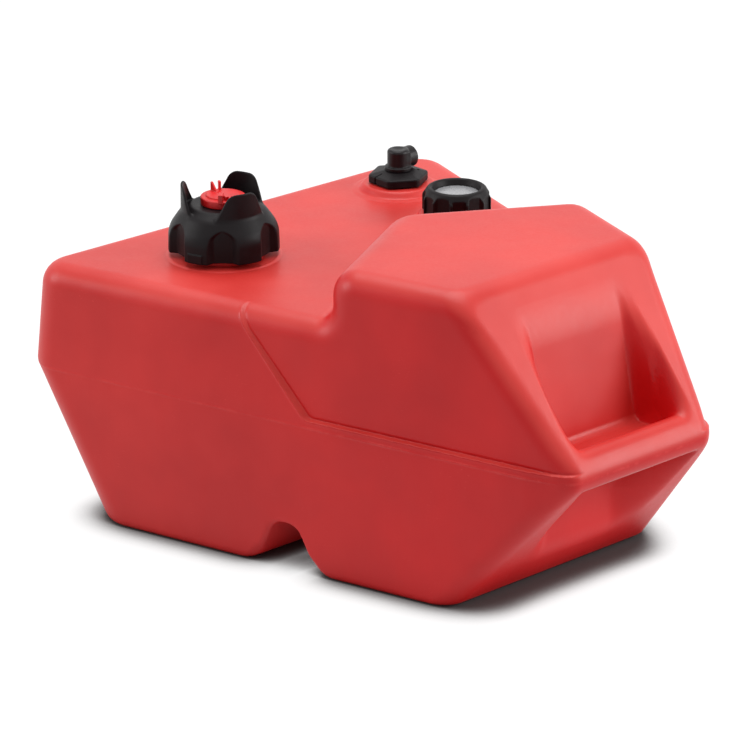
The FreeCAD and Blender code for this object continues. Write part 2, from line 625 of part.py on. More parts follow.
def ringSeal(name, major, minor, level, at):
    seal = doc.addObject("Part::Torus", name)
    seal.setExpression("Radius1", major)
    seal.setExpression("Radius2", minor)
    return place(seal, at[0], at[1], f"{at[2]} + {level}")


def ventSeal():
    return ringSeal("vent_seal", "sizes.needleRadius + sizes.ventSealRadius + sizes.fitClearance",
                    "sizes.ventSealRadius", f"{plateHigh} + sizes.sealGap + sizes.ventSealRadius", fillerAt)


breatherAt = (f"{fillerX} + sizes.breatherOffset", "sizes.fillerY",
              "sizes.deckHeight + sizes.skirtGap")


def breatherPoppet():
    discHigh = f"{plateLow} - sizes.sealGap"
    stemHigh = f"{plateHigh} + sizes.breatherSpringHeight + sizes.clipThickness"
    return turned("breather_poppet",
                  [("0", f"{discHigh} - sizes.poppetThickness"),
                   ("sizes.poppetRadius", f"{discHigh} - sizes.poppetThickness"),
                   ("sizes.poppetRadius", discHigh), ("sizes.poppetStemRadius", discHigh),
                   ("sizes.poppetStemRadius", stemHigh), ("0", stemHigh)],
                  *breatherAt)


def breatherClip():
    low = f"{plateHigh} + sizes.breatherSpringHeight"
    return turned("breather_clip", ring("sizes.poppetStemRadius", "sizes.clipRadius", low,
                                        f"{low} + sizes.clipThickness"), *breatherAt)


# round-wire compression spring standing between two levels
def coil(name, radius, wire, low, high, turns, at):
    height = float(sizes.evalExpression(high)) - float(sizes.evalExpression(low)) - 2 * wire
    helix = Part.makeHelix(height / turns, height, radius)
    section = Part.Wire(Part.makeCircle(wire, FreeCAD.Vector(radius, 0, 0), FreeCAD.Vector(0, 1, 0)))
    spring = doc.addObject("Part::Feature", name)
    spring.Shape = Part.Wire(helix.Edges).makePipeShell([section], True, True)
    return place(spring, at[0], at[1], f"{at[2]} + {low} + {wire}")


def breatherSpring():
    return coil("breather_spring", size("breatherSpringRadius"), size("springWire"), plateHigh,
                f"{plateHigh} + sizes.breatherSpringHeight", size("breatherSpringTurns"), breatherAt)


# fuel gauge
gaugeAt = (gaugeX, "sizes.gaugeY", "sizes.deckHeight")
flangeLow = "sizes.gaugeNeckHeight + sizes.gaugeGasketThickness"
flangeHigh = f"{flangeLow} + sizes.gaugeFlange"
lensHigh = f"{flangeHigh} + sizes.lensThickness"
cupRadius = "sizes.gaugeBoreRadius - sizes.slipClearance"
cupBore = f"{cupRadius} - sizes.gaugeCupWall"
cupLow = f"{flangeHigh} - sizes.gaugeCupDepth - sizes.gaugeFlange"
dialLow = f"{flangeHigh} - sizes.dialDrop"


def gaugeCap():
    body = newBody("gauge_cap")
    low = "sizes.gaugeBossHeight + sizes.slipClearance"
    top = "sizes.gaugeBossHeight + sizes.gaugeCapHeight"
    inner = "sizes.gaugeNeckRadius + sizes.threadClearance"
    addTurning(body, "gauge_cap_turning",
               [(inner, low), ("sizes.gaugeCapRadius", low),
                ("sizes.gaugeCapRadius", f"{top} - sizes.gaugeCapChamfer", "3"),
                ("sizes.gaugeWindowRadius + 6", top, "3"), ("sizes.gaugeWindowRadius + 2", top),
                ("sizes.gaugeWindowRadius", f"{top} - 2"), ("sizes.gaugeWindowRadius", lensHigh),
                (inner, lensHigh)])
    doc.recompute()
    half = "sizes.gaugeScallopWidth / 2"
    scallop = addPocket(body, "gauge_scallop", "YZ_Plane",
                        [(f"-{half}", "0"), (half, "0"),
                         (half, "sizes.gaugeBossHeight + sizes.gaugeScallopHeight", "4"),
                         (f"-{half}", "sizes.gaugeBossHeight + sizes.gaugeScallopHeight", "4")],
                        "sizes.gaugeScallopFloor", "sizes.gaugeCapRadius", reversed=True)
    doc.recompute()
    repeatRound(body, scallop, "sizes.gaugeScallops")
    return place(body, *gaugeAt)


def gaugeGasket():
    inner = "sizes.gaugeBoreRadius + sizes.sealGap"
    outer = "sizes.gaugeNeckRadius - sizes.sealGap"
    return turned("gauge_gasket", ring(inner, outer, "sizes.gaugeNeckHeight", flangeLow), *gaugeAt)


def gaugeBody():
    body = newBody("gauge_body")
    flangeRadius = "sizes.gaugeNeckRadius - sizes.sealGap"
    addTurning(body, "gauge_body_turning",
               [("sizes.spindleRadius + sizes.fitClearance", cupLow), (cupRadius, cupLow),
                (cupRadius, flangeLow), (flangeRadius, flangeLow),
                (flangeRadius, flangeHigh), (cupBore, flangeHigh), (cupBore, dialLow),
                (f"{cupBore} - 1.5", dialLow), (f"{cupBore} - 1.5", f"{cupLow} + 2"),
                ("sizes.spindleRadius + sizes.fitClearance", f"{cupLow} + 2")])
    return place(body, *gaugeAt)


def gaugeLens():
    return turned("gauge_lens", ring("0", "sizes.lensRadius", flangeHigh, lensHigh), *gaugeAt)


def gaugeDial():
    return turned("gauge_dial", ring("sizes.spindleRadius + 0.3", f"{cupBore} - sizes.sealGap", dialLow,
                                     f"{dialLow} + sizes.dialThickness"), *gaugeAt)


def gaugePointer():
    body = newBody("gauge_pointer")
    low = f"{dialLow} + sizes.dialThickness + sizes.pointerGap"
    hub = "2 * sizes.spindleRadius"
    addTurning(body, "pointer_hub", ring("sizes.spindleRadius", hub, low, f"{low} + sizes.pointerThickness"))
    doc.recompute()
    half = "sizes.pointerWidth / 2"
    addPad(body, "pointer_blade", "XY_Plane",
           [(f"-{half}", "sizes.spindleRadius + 0.5"), (half, "sizes.spindleRadius + 0.5"),
            ("0.3", "sizes.pointerLength"), ("-0.3", "sizes.pointerLength")],
           low, "sizes.pointerThickness")
    return place(body, *gaugeAt)


guideLow = "sizes.footHeight - sizes.deckHeight"


# strip twisted evenly along its length, with a round journal at each end
def gaugeSpindle():
    low = size("footHeight") + size("footThickness")
    high = size("deckHeight") + float(sizes.evalExpression(cupLow))
    dial = size("deckHeight") + float(sizes.evalExpression(dialLow))
    top = dial + size("dialThickness") + size("pointerGap") + size("pointerThickness")
    across = size("stripWidth") / 2
    thick = size("stripThickness") / 2
    rate = size("stripTwist") / size("floatTravel")
    start = low + 1
    finish = high - 1
    steps = max(8, int((finish - start) * rate / 15))
    sections = []
    for step in range(steps + 1):
        level = start + (finish - start) * step / steps
        corners = [FreeCAD.Vector(x, y, level) for x, y in (
            (-across, -thick), (across, -thick), (across, thick), (-across, thick), (-across, -thick))]
        outline = Part.makePolygon(corners)
        outline.rotate(FreeCAD.Vector(), FreeCAD.Vector(0, 0, 1), -(level - start) * rate)
        sections.append(outline)
    strip = Part.makeLoft(sections, True, False)
    radius = size("spindleRadius")
    lowPin = Part.makeCylinder(radius, low + 3 - size("footHeight"), FreeCAD.Vector(0, 0, size("footHeight")))
    highPin = Part.makeCylinder(radius, top - finish + 1, FreeCAD.Vector(0, 0, finish - 1))
    spindle = doc.addObject("Part::Feature", "gauge_spindle")
    spindle.Shape = strip.fuse([lowPin, highPin])
    return place(spindle, gaugeX, "sizes.gaugeY")


def gaugeGuides():
    rods = []
    for side in ("-", ""):
        rod = doc.addObject("Part::Cylinder", "guide_rod" + ("_near" if side else "_far"))
        rod.setExpression("Radius", "sizes.guideRadius")
        rod.setExpression("Height", f"{cupLow} - ({guideLow}) - sizes.footThickness")
        rods.append(place(rod, gaugeX, f"sizes.gaugeY + {side}sizes.guideSpacing / 2",
                          "sizes.footHeight + sizes.footThickness"))
    pair = doc.addObject("Part::Compound", "gauge_guides")
    pair.Links = rods
    return pair


def gaugeFoot():
    return turned("gauge_foot", ring("sizes.spindleRadius + sizes.fitClearance", "sizes.footRadius",
                                     "0", "sizes.footThickness"),
                  gaugeX, "sizes.gaugeY", "sizes.footHeight")


def gaugeFloat():
    body = newBody("gauge_float")
    middle = "sizes.floatHeight / 2"
    addTurning(body, "float_turning",
               [("sizes.floatChannelRadius", "0"), ("sizes.floatRadius", "0", "2"),
                ("sizes.floatRadius", "sizes.floatHeight", "2"),
                ("sizes.floatChannelRadius", "sizes.floatHeight")])
    doc.recompute()
    bridge = "sizes.floatChannelRadius + 0.5"
    addPad(body, "float_bridge", "XY_Plane",
           [(f"-({bridge})", f"-({bridge})"), (bridge, f"-({bridge})"), (bridge, bridge),
            (f"-({bridge})", bridge)],
           f"{middle} - sizes.floatBridge / 2", "sizes.floatBridge")
    doc.recompute()
    slot = "sizes.stripWidth / 2 + 0.4"
    gap = "sizes.stripThickness / 2 + 0.4"
    cut = addPocket(body, "float_slot", "XY_Plane",
                    [(f"-({slot})", f"-({gap})"), (slot, f"-({gap})"), (slot, gap), (f"-({slot})", gap)],
                    middle, "2 * sizes.floatBridge", "Symmetric")
    turnSketch(doc.getObject("float_slot_outline"),
               f"-({middle} + sizes.slipClearance - 1) * sizes.stripTwist / sizes.floatTravel")
    doc.recompute()
    rodHoles = planeSketch(body, "rod_hole_circles", "XY_Plane")
    drawCircle(rodHoles, "0", "sizes.guideSpacing / 2", "sizes.guideRadius + 0.3")
    drawCircle(rodHoles, "0", "-sizes.guideSpacing / 2", "sizes.guideRadius + 0.3")
    holes = body.newObject("PartDesign::Pocket", "rod_holes")
    holes.Profile = rodHoles
    holes.SideType = "Symmetric"
    holes.setExpression("Length", "4 * sizes.floatHeight")
    return place(body, gaugeX, "sizes.gaugeY",
                 "sizes.footHeight + sizes.footThickness + sizes.slipClearance")


def turnSketch(sketch, angle):
    base = sketch.AttachmentOffset.Base
    sketch.AttachmentOffset = FreeCAD.Placement(base, FreeCAD.Rotation(FreeCAD.Vector(0, 0, 1), 10))
    sketch.setExpression("AttachmentOffset.Rotation.Angle", angle)


# pickup
pickupAt = (pickupX, "sizes.pickupY", "sizes.deckHeight + sizes.pickupBossHeight")
hexLow = "sizes.pickupGasketThickness"
hexHigh = f"{hexLow} + sizes.hexHeight"
chamberHigh = f"{hexHigh} - sizes.spigotLength"
seatHigh = f"{hexLow} - sizes.stemLength + sizes.checkSeatHeight"


def pickupFlange():
    body = newBody("pickup_flange")
    side = "sizes.hexWidth / 2"
    corner = "sizes.hexWidth / 2 / cos(30)"
    addPad(body, "hex_pad", "XY_Plane",
           [(f"-{corner}", "0"), (f"-{corner} / 2", f"-{side}"), (f"{corner} / 2", f"-{side}"),
            (corner, "0"), (f"{corner} / 2", side), (f"-{corner} / 2", side)],
           hexLow, "sizes.hexHeight")
    doc.recompute()
    addPadRound(body, "stem_pad", "sizes.stemRadius", f"{hexLow} - sizes.stemLength", "sizes.stemLength + 1")
    doc.recompute()
    lipTop = f"{chamberHigh} + sizes.snapLipHeight + sizes.swivelGap"
    groove = body.newObject("PartDesign::Groove", "flange_bores")
    sketch = planeSketch(body, "flange_bore_profile", "XZ_Plane")
    drawPolygon(sketch, [("0", f"{hexLow} - sizes.stemLength - 1"),
                         ("sizes.checkSeatRadius", f"{hexLow} - sizes.stemLength - 1"),
                         ("sizes.checkSeatRadius", seatHigh), ("sizes.checkChamberRadius", seatHigh),
                         ("sizes.checkChamberRadius", chamberHigh),
                         ("sizes.snapLipRadius + sizes.slipClearance", chamberHigh),
                         ("sizes.snapLipRadius + sizes.slipClearance", lipTop),
                         ("sizes.spigotRadius + sizes.fitClearance", lipTop),
                         ("sizes.spigotRadius + sizes.fitClearance", f"{hexHigh} + 1"),
                         ("0", f"{hexHigh} + 1")])
    groove.Profile = sketch
    groove.ReferenceAxis = (sketch, ["V_Axis"])
    groove.Angle = 360
    doc.recompute()
    body.Tip = groove
    crown = body.newObject("PartDesign::Groove", "hex_crown")
    crownSketch = planeSketch(body, "hex_crown_profile", "XZ_Plane")
    drawPolygon(crownSketch, [(f"{side}", hexHigh), (f"{side} + 8", f"{hexHigh} - sizes.hexChamfer * 2"),
                              (f"{side} + 8", f"{hexHigh} + 2"), (f"{side}", f"{hexHigh} + 2")])
    crown.Profile = crownSketch
    crown.ReferenceAxis = (crownSketch, ["V_Axis"])
    crown.Angle = 360
    doc.recompute()
    body.Tip = crown
    return place(body, *pickupAt)


def addPadRound(body, name, radius, low, length):
    sketch = planeSketch(body, name + "_circle", "XY_Plane", low)
    drawCircle(sketch, "0", "0", radius)
    pad = body.newObject("PartDesign::Pad", name)
    pad.Profile = sketch
    pad.setExpression("Length", length)
    return pad


def pickupGasket():
    return turned("pickup_gasket", ring("sizes.pickupBoreRadius + sizes.sealGap", "sizes.hexWidth / 2 - 3",
                                        "0", "sizes.pickupGasketThickness"), *pickupAt)


footLow = f"{hexHigh} + sizes.swivelGap"


def outletElbow():
    body = newBody("outlet_elbow")
    groove = f"{hexHigh} - sizes.spigotLength / 2"
    depth = "sizes.spigotRadius - sizes.elbowSealRadius * 1.6"
    addTurning(body, "elbow_turning",
               [("0", chamberHigh), ("sizes.snapLipRadius", chamberHigh),
                ("sizes.snapLipRadius", f"{chamberHigh} + sizes.snapLipHeight"),
                ("sizes.spigotRadius", f"{chamberHigh} + sizes.snapLipHeight"),
                ("sizes.spigotRadius", f"{groove} - sizes.elbowSealRadius - sizes.sealGap"),
                (depth, f"{groove} - sizes.elbowSealRadius - sizes.sealGap"),
                (depth, f"{groove} + sizes.elbowSealRadius + sizes.sealGap"),
                ("sizes.spigotRadius", f"{groove} + sizes.elbowSealRadius + sizes.sealGap"),
                ("sizes.spigotRadius", footLow), ("sizes.footRingRadius", footLow),
                ("sizes.footRingRadius", f"{footLow} + sizes.footRingHeight"),
                ("sizes.postRadius", f"{footLow} + sizes.footRingHeight"),
                ("sizes.postRadius", f"{hexHigh} + sizes.postHeight", "2.5"),
                ("0", f"{hexHigh} + sizes.postHeight")])
    doc.recompute()
    outlet = planeSketch(body, "outlet_circle", "YZ_Plane")
    drawCircle(outlet, "0", f"{hexHigh} + sizes.outletHeight", "sizes.outletRadius")
    pad = body.newObject("PartDesign::Pad", "outlet_pad")
    pad.Profile = outlet
    pad.setExpression("Length", "sizes.outletLength")
    doc.recompute()
    for name, radius, start, length in (
            ("port", "sizes.portRadius", "sizes.outletLength - sizes.portDepth", "sizes.portDepth + 1"),
            ("passage", "sizes.passageRadius", "0", "sizes.outletLength")):
        sketch = planeSketch(body, name + "_circle", "YZ_Plane", start)
        drawCircle(sketch, "0", f"{hexHigh} + sizes.outletHeight", radius)
        pocket = body.newObject("PartDesign::Pocket", name)
        pocket.Profile = sketch
        pocket.Reversed = True
        pocket.setExpression("Length", length)
        doc.recompute()
    rise = planeSketch(body, "rise_circle", "XY_Plane", f"{chamberHigh} - 1")
    drawCircle(rise, "0", "0", "sizes.passageRadius")
    up = body.newObject("PartDesign::Pocket", "rise")
    up.Profile = rise
    up.Reversed = True
    up.setExpression("Length", "sizes.spigotLength + sizes.outletHeight + 1")
    return place(body, *pickupAt, turn="sizes.outletAngle")


def elbowSeal():
    return ringSeal("elbow_seal", "sizes.spigotRadius - sizes.elbowSealRadius * 0.6 - 0.1",
                    "sizes.elbowSealRadius * 0.6", f"{hexHigh} - sizes.spigotLength / 2", pickupAt)


def checkSeat():
    low = f"{hexLow} - sizes.stemLength"
    return turned("check_seat",
                  [("sizes.nippleRadius - 1", f"{low} - sizes.checkSeatFlange - sizes.nippleLength"),
                   ("sizes.nippleRadius", f"{low} - sizes.checkSeatFlange - sizes.nippleLength"),
                   ("sizes.nippleRadius", f"{low} - sizes.checkSeatFlange"),
                   ("sizes.stemRadius - 0.5", f"{low} - sizes.checkSeatFlange"),
                   ("sizes.stemRadius - 0.5", low), ("sizes.checkSeatRadius", low),
                   ("sizes.checkSeatRadius", seatHigh), ("sizes.checkHoleRadius", seatHigh),
                   ("sizes.checkHoleRadius", f"{seatHigh} - 1.5"),
                   ("sizes.nippleRadius - 1", f"{seatHigh} - 3")],
                  *pickupAt)


ballCentre = f"{seatHigh} + sqrt(sizes.checkBallRadius ^ 2 - sizes.checkHoleRadius ^ 2) + 0.1"


def checkBall():
    ball = doc.addObject("Part::Sphere", "check_ball")
    ball.setExpression("Radius", "sizes.checkBallRadius")
    return place(ball, pickupAt[0], pickupAt[1], f"{pickupAt[2]} + {ballCentre}")


def checkSpring():
    return coil("check_spring", size("checkSpringRadius"), size("springWire"),
                f"{ballCentre} + sizes.checkBallRadius * 0.8", chamberHigh,
                size("checkSpringTurns"), pickupAt)


tubeHigh = f"{hexLow} - sizes.stemLength - sizes.checkSeatFlange"


def pickupTube():
    low = "sizes.tubeEndHeight - sizes.deckHeight - sizes.pickupBossHeight"
    return turned("pickup_tube", ring("sizes.tubeRadius - sizes.tubeWall", "sizes.tubeRadius",
                                      f"{low}", tubeHigh), *pickupAt)


def pickupStrainer():
    return turned("pickup_strainer",
                  [("0", "0"), ("sizes.strainerRadius", "0"),
                   ("sizes.strainerRadius", "sizes.strainerHeight"),
                   ("sizes.tubeRadius", "sizes.strainerHeight"),
                   ("sizes.tubeRadius", "sizes.strainerHeight - 3"),
                   ("sizes.strainerRadius - sizes.strainerWall", "sizes.strainerHeight - 3"),
                   ("sizes.strainerRadius - sizes.strainerWall", "sizes.strainerWall"),
                   ("0", "sizes.strainerWall")],
                  pickupX, "sizes.pickupY", "sizes.strainerFloor")


# build, check, write
subParts = [
    tankShell, fillerCap, fillerInsert, fillerGasket, slipWasher, ventKnob, ventNeedle, ventSeal,
    breatherPoppet, breatherSpring, breatherClip, gaugeCap, gaugeLens, gaugeDial, gaugePointer,
    gaugeBody, gaugeGasket, gaugeGuides, gaugeFoot, gaugeSpindle, gaugeFloat, pickupFlange,
    pickupGasket, outletElbow, elbowSeal, checkSeat, checkBall, checkSpring,
    pickupTube, pickupStrainer,
]

pieces = [make() for make in subParts]
doc.recompute()

for thing in doc.Objects:
    if "Invalid" in thing.State or "Error" in thing.State:
        raise RuntimeError(f"{thing.Name} did not rebuild")
for piece in pieces:
    if piece.Shape.isNull() or not piece.Shape.isValid():
        raise RuntimeError(f"{piece.Label} has no valid shape")

os.makedirs("parts", exist_ok=True)
for piece in pieces:
    piece.Label = piece.Name
    piece.Shape.exportStep(f"parts/{piece.Label}.step")
    box = piece.Shape.BoundBox
    print(f"{piece.Label}: {len(piece.Shape.Solids)} solid, {piece.Shape.Volume / 1000:.1f} cm3, "
          f"z {box.ZMin:.1f} to {box.ZMax:.1f}")
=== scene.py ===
import bpy
import json
import math
import numpy as np
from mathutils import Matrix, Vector


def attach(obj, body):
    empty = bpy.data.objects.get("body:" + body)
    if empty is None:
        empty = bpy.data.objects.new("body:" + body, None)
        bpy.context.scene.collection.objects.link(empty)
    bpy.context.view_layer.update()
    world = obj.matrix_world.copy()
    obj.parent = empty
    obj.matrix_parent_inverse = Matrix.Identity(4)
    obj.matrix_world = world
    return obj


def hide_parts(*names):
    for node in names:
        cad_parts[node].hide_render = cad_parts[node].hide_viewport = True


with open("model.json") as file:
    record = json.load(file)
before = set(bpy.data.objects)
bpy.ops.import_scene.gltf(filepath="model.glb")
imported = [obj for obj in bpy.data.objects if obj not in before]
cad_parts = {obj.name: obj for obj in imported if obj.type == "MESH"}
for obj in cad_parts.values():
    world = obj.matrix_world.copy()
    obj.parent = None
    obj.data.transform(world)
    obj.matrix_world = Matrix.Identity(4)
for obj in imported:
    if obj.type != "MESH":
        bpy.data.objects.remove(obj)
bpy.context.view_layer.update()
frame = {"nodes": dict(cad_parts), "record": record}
nodes = frame["nodes"]
scene = bpy.context.scene
mm = 0.001

# camera first, so that every later choice can be judged through it
cameraView = dict(
    azimuth=47.77,  # degrees, 0 looks along +Y
    elevation=21.56,
    distance=2.765,
    target=(0, 0, 0.1087),
    focalPixels=3637,
    pictureSide=750,
    targetPixel=(429.2, 386.3),
    sensor=36,
)


def makeCamera(values):
    data = bpy.data.cameras.new("camera")
    side = values["pictureSide"]
    data.sensor_width = values["sensor"]
    data.lens = values["sensor"] * values["focalPixels"] / side
    data.shift_x = (side / 2 - values["targetPixel"][0]) / side
    data.shift_y = (values["targetPixel"][1] - side / 2) / side
    camera = bpy.data.objects.new("camera", data)
    a, e = math.radians(values["azimuth"]), math.radians(values["elevation"])
    back = Vector((math.sin(a) * math.cos(e), -math.cos(a) * math.cos(e), math.sin(e)))
    camera.location = Vector(values["target"]) + back * values["distance"]
    camera.rotation_euler = back.to_track_quat("Z", "Y").to_euler()
    scene.collection.objects.link(camera)
    scene.camera = camera


makeCamera(cameraView)
print("camera is set")


# shader graphs written as sums
class Flow:
    # one output socket; + - * on it add Math nodes
    def __init__(self, tree, socket):
        self.tree = tree
        self.socket = socket

    def maths(self, operation, *values, clamp=False):
        settings = {"operation": operation, "use_clamp": clamp}
        return addNode(self.tree, "ShaderNodeMath", settings, dict(enumerate(values)))

    def __add__(self, other):
        return self.maths("ADD", self, other)

    def __sub__(self, other):
        return self.maths("SUBTRACT", self, other)

    def __mul__(self, other):
        return self.maths("MULTIPLY", self, other)

    def limited(self):
        return self.maths("ADD", self, 0, clamp=True)


def addNode(tree, kind, settings=None, values=None, output=0):
    node = tree.nodes.new(kind)
    for key, setting in (settings or {}).items():
        if key == "stops":
            ramp = node.color_ramp
            while len(ramp.elements) < len(setting):
                ramp.elements.new(0.5)
            for element, (place, colour) in zip(ramp.elements, setting):
                element.position = place
                element.color = (*colour, 1)
        else:
            setattr(node, key, setting)
    for key, value in (values or {}).items():
        socket = node.inputs[key]
        if isinstance(value, Flow):
            tree.links.new(value.socket, socket)
        elif isinstance(value, (tuple, list)) and socket.type == "RGBA" and len(value) == 3:
            socket.default_value = (*value, 1)
        else:
            socket.default_value = value
    return Flow(tree, node.outputs[output])


def srgb(red, green, blue):
    # a colour as it looks on a screen, 0 to 255, in linear light
    return tuple(
        v / 12.92 if v <= 0.04045 else ((v + 0.055) / 1.055) ** 2.4
        for v in (red / 255, green / 255, blue / 255)
    )


class Finish:
    # a new material with its Principled shader and the object's own millimetres to paint by
    sockets = {
        "colour": "Base Color", "roughness": "Roughness", "specular": "Specular IOR Level",
        "metallic": "Metallic", "transmission": "Transmission Weight", "ior": "IOR",
        "subsurfaceWeight": "Subsurface Weight", "subsurfaceScale": "Subsurface Scale",
    }

    def __init__(self, name, **uniform):
        self.material = bpy.data.materials.new(name)
        self.material.use_nodes = True
        self.tree = self.material.node_tree
        self.tree.nodes.clear()
        self.shader = self.tree.nodes.new("ShaderNodeBsdfPrincipled")
        self.last = self.tree.nodes.new("ShaderNodeOutputMaterial")
        self.tree.links.new(self.shader.outputs[0], self.last.inputs[0])
        for key, value in uniform.items():
            name = self.sockets[key]
            self.shader.inputs[name].default_value = (*value, 1) if key == "colour" else value
        self.place = addNode(self.tree, "ShaderNodeTexCoord", output=3)

    def node(self, kind, settings=None, values=None, output=0):
        return addNode(self.tree, kind, settings, values, output)

    def maths(self, operation, *values):
        return self.node("ShaderNodeMath", {"operation": operation}, dict(enumerate(values)))

    def stretched(self, scale, turn=(0, 0, 0)):
        # scale is in features per millimetre along each axis
        return self.node("ShaderNodeMapping", {},
                         {"Vector": self.place, "Scale": tuple(s / mm for s in scale),
                          "Rotation": tuple(math.radians(t) for t in turn)})

    def along(self, axis):
        return self.node("ShaderNodeSeparateXYZ", {}, {0: self.place}, axis)

    def noise(self, size, detail=2, roughness=0.5, stretch=(1, 1, 1), turn=(0, 0, 0)):
        # size is the feature's size in millimetres
        vector = self.stretched(tuple(s / size for s in stretch), turn)
        return self.node("ShaderNodeTexNoise", {},
                         {"Vector": vector, "Scale": 1, "Detail": detail, "Roughness": roughness})

    def cells(self, size):
        return self.node("ShaderNodeTexVoronoi", {}, {"Vector": self.stretched((1 / size,) * 3), "Scale": 1})

    def ramp(self, value, stops):
        return self.node("ShaderNodeValToRGB", {"stops": stops}, {0: value})

    def spread(self, value, low, high, toLow=0, toHigh=1):
        return self.node("ShaderNodeMapRange", {}, {0: value, 1: low, 2: high, 3: toLow, 4: toHigh})

    def mixed(self, factor, first, second):
        return self.node("ShaderNodeMix", {"data_type": "RGBA"}, {0: factor, 6: first, 7: second}, 2)

    def feed(self, socket, value):
        self.tree.links.new(value.socket, self.shader.inputs[socket])

    def raised(self, height, depth):
        # height is 0 to 1, depth in millimetres
        bump = self.node("ShaderNodeBump", {}, {"Strength": 1, "Distance": depth * mm, "Height": height})
        self.feed("Normal", bump)


# shapes as fields: below zero is inside, everything in millimetres
def meet(a, b, radius, cosine=0.0):
    # both a and b, with the edge between them rolled to a radius; cosine is that of the two faces' normals
    u = a + radius
    v = b + radius
    across = np.sqrt(np.maximum(u * u + v * v - 2 * u * v * cosine, 0) / (1 - cosine ** 2))
    onEdge = (u > v * cosine) & (v > u * cosine)
    return np.where(onEdge, across, np.maximum(u, v)) - radius


def join(a, b, radius, cosine=0.0):
    # either a or b, with a soft hollow between them
    return -meet(-a, -b, radius, cosine)


def cutFrom(a, b, radius, cosine=0.0):
    return meet(a, -b, radius, cosine)


def softStep(value, width):
    t = np.clip(value / width + 0.5, 0, 1)
    return t * t * (3 - 2 * t)


def softer(a, b, width):
    # the larger of the two, blended where they are close
    near = np.maximum(width - np.abs(a - b), 0) / width
    return np.maximum(a, b) + near * near * width / 4


def between(t, a, b):
    return a + (b - a) * t


def wall(across, along, start, end):
    # distance past the line from start to end, positive on the right of its direction
    du, dv = end[0] - start[0], end[1] - start[1]
    length = math.hypot(du, dv)
    return ((across - start[0]) * dv - (along - start[1]) * du) / length


def bandAxis(low, high, step, fine=()):
    # grid lines from low to high, closer together inside each fine band (start, end, step)
    lines = [low]
    while lines[-1] < high:
        here = lines[-1]
        pace = step
        for start, end, small in fine:
            if start - step <= here < end:
                pace = small
        lines.append(here + pace)
    return np.array(lines)


def wrapField(field, axes):
    # one vertex in each cell that the surface passes through, one face round each grid edge that it crosses
    counts = [len(axis) for axis in axes]
    values = np.empty(counts)
    for start in range(0, counts[0], 16):
        part = axes[0][start:start + 16]
        x, y, z = np.meshgrid(part, axes[1], axes[2], indexing="ij")
        values[start:start + 16] = field(x, y, z)
    inside = values < 0
    total = inside.astype(np.int8)  # becomes the number of each cell's corners inside
    for axis in range(3):
        total = np.delete(total, 0, axis) + np.delete(total, -1, axis)
    crossed = (total > 0) & (total < 8)
    cells = np.argwhere(crossed)
    index = np.full(total.shape, -1, np.int64)
    index[crossed] = np.arange(len(cells))
    place = np.zeros((len(cells), 3))
    hits = np.zeros(len(cells))
    for axis in range(3):
        others = [a for a in range(3) if a != axis]
        for offsets in ((0, 0), (0, 1), (1, 0), (1, 1)):
            near = cells.copy()
            near[:, others] += offsets
            far = near.copy()
            far[:, axis] += 1
            a = values[tuple(near.T)]
            b = values[tuple(far.T)]
            change = (a < 0) != (b < 0)
            t = np.where(change, a / np.where(change, a - b, 1), 0)
            point = np.stack([axes[n][near[:, n]] for n in range(3)], 1)
            point[:, axis] += t * (axes[axis][far[:, axis]] - axes[axis][near[:, axis]])
            place[change] += point[change]
            hits[change] += 1
    place /= hits[:, None]
    faces = []
    for axis in range(3):
        u, v = (axis + 1) % 3, (axis + 2) % 3
        edges = np.argwhere(np.diff(inside, axis=axis))
        aside = edges[:, [u, v]]
        edges = edges[((aside > 0) & (aside < [counts[u] - 1, counts[v] - 1])).all(1)]
        ring = []
        for offsets in ((-1, -1), (0, -1), (0, 0), (-1, 0)):
            cell = edges.copy()
            cell[:, [u, v]] += offsets
            ring.append(index[tuple(cell.T)])
        quad = np.stack(ring, 1)
        outward = inside[tuple(edges.T)]
        quad[~outward] = quad[~outward][:, ::-1]
        faces.append(quad)
    return place, np.concatenate(faces)


def slopeOf(field, place, step=0.02):
    slope = np.empty_like(place)
    for axis in range(3):
        ahead, behind = place.copy(), place.copy()
        ahead[:, axis] += step
        behind[:, axis] -= step
        slope[:, axis] = (field(*ahead.T) - field(*behind.T)) / (2 * step)
    return slope


def settle(field, place, faces, smoothing, reach):
    # evens the vertices out along the surface and puts them exactly on it
    pairs = np.concatenate([faces[:, [0, 1]], faces[:, [1, 2]], faces[:, [2, 3]], faces[:, [3, 0]]])
    pairs = np.concatenate([pairs, pairs[:, ::-1]])
    count = np.bincount(pairs[:, 0], minlength=len(place))[:, None]
    for turn in range(smoothing + 1):
        for repeat in range(3):
            value = field(*place.T)
            slope = slopeOf(field, place)
            shift = (value / np.maximum((slope ** 2).sum(1), 0.05))[:, None] * slope
            long = np.linalg.norm(shift, axis=1, keepdims=True)
            place = place - shift * np.minimum(1, reach / np.maximum(long, 1e-9))
        if turn < smoothing:
            average = [np.bincount(pairs[:, 0], place[pairs[:, 1], n], len(place)) for n in range(3)]
            average = np.stack(average, 1) / count
            normal = slope / np.linalg.norm(slope, axis=1, keepdims=True)
            move = average - place
            place = place + 0.6 * (move - (move * normal).sum(1, keepdims=True) * normal)
    slope = slopeOf(field, place, 0.05)
    return place, slope / np.maximum(np.linalg.norm(slope, axis=1, keepdims=True), 1e-9)


def meshFrom(name, place, faces, normals=None):
    mesh = bpy.data.meshes.new(name)
    mesh.from_pydata((place * mm).tolist(), [], faces.tolist())
    mesh.validate()
    mesh.shade_smooth()
    if normals is not None:
        mesh.normals_split_custom_set_from_vertices(normals.tolist())
    thing = bpy.data.objects.new(name, mesh)
    scene.collection.objects.link(thing)
    return thing


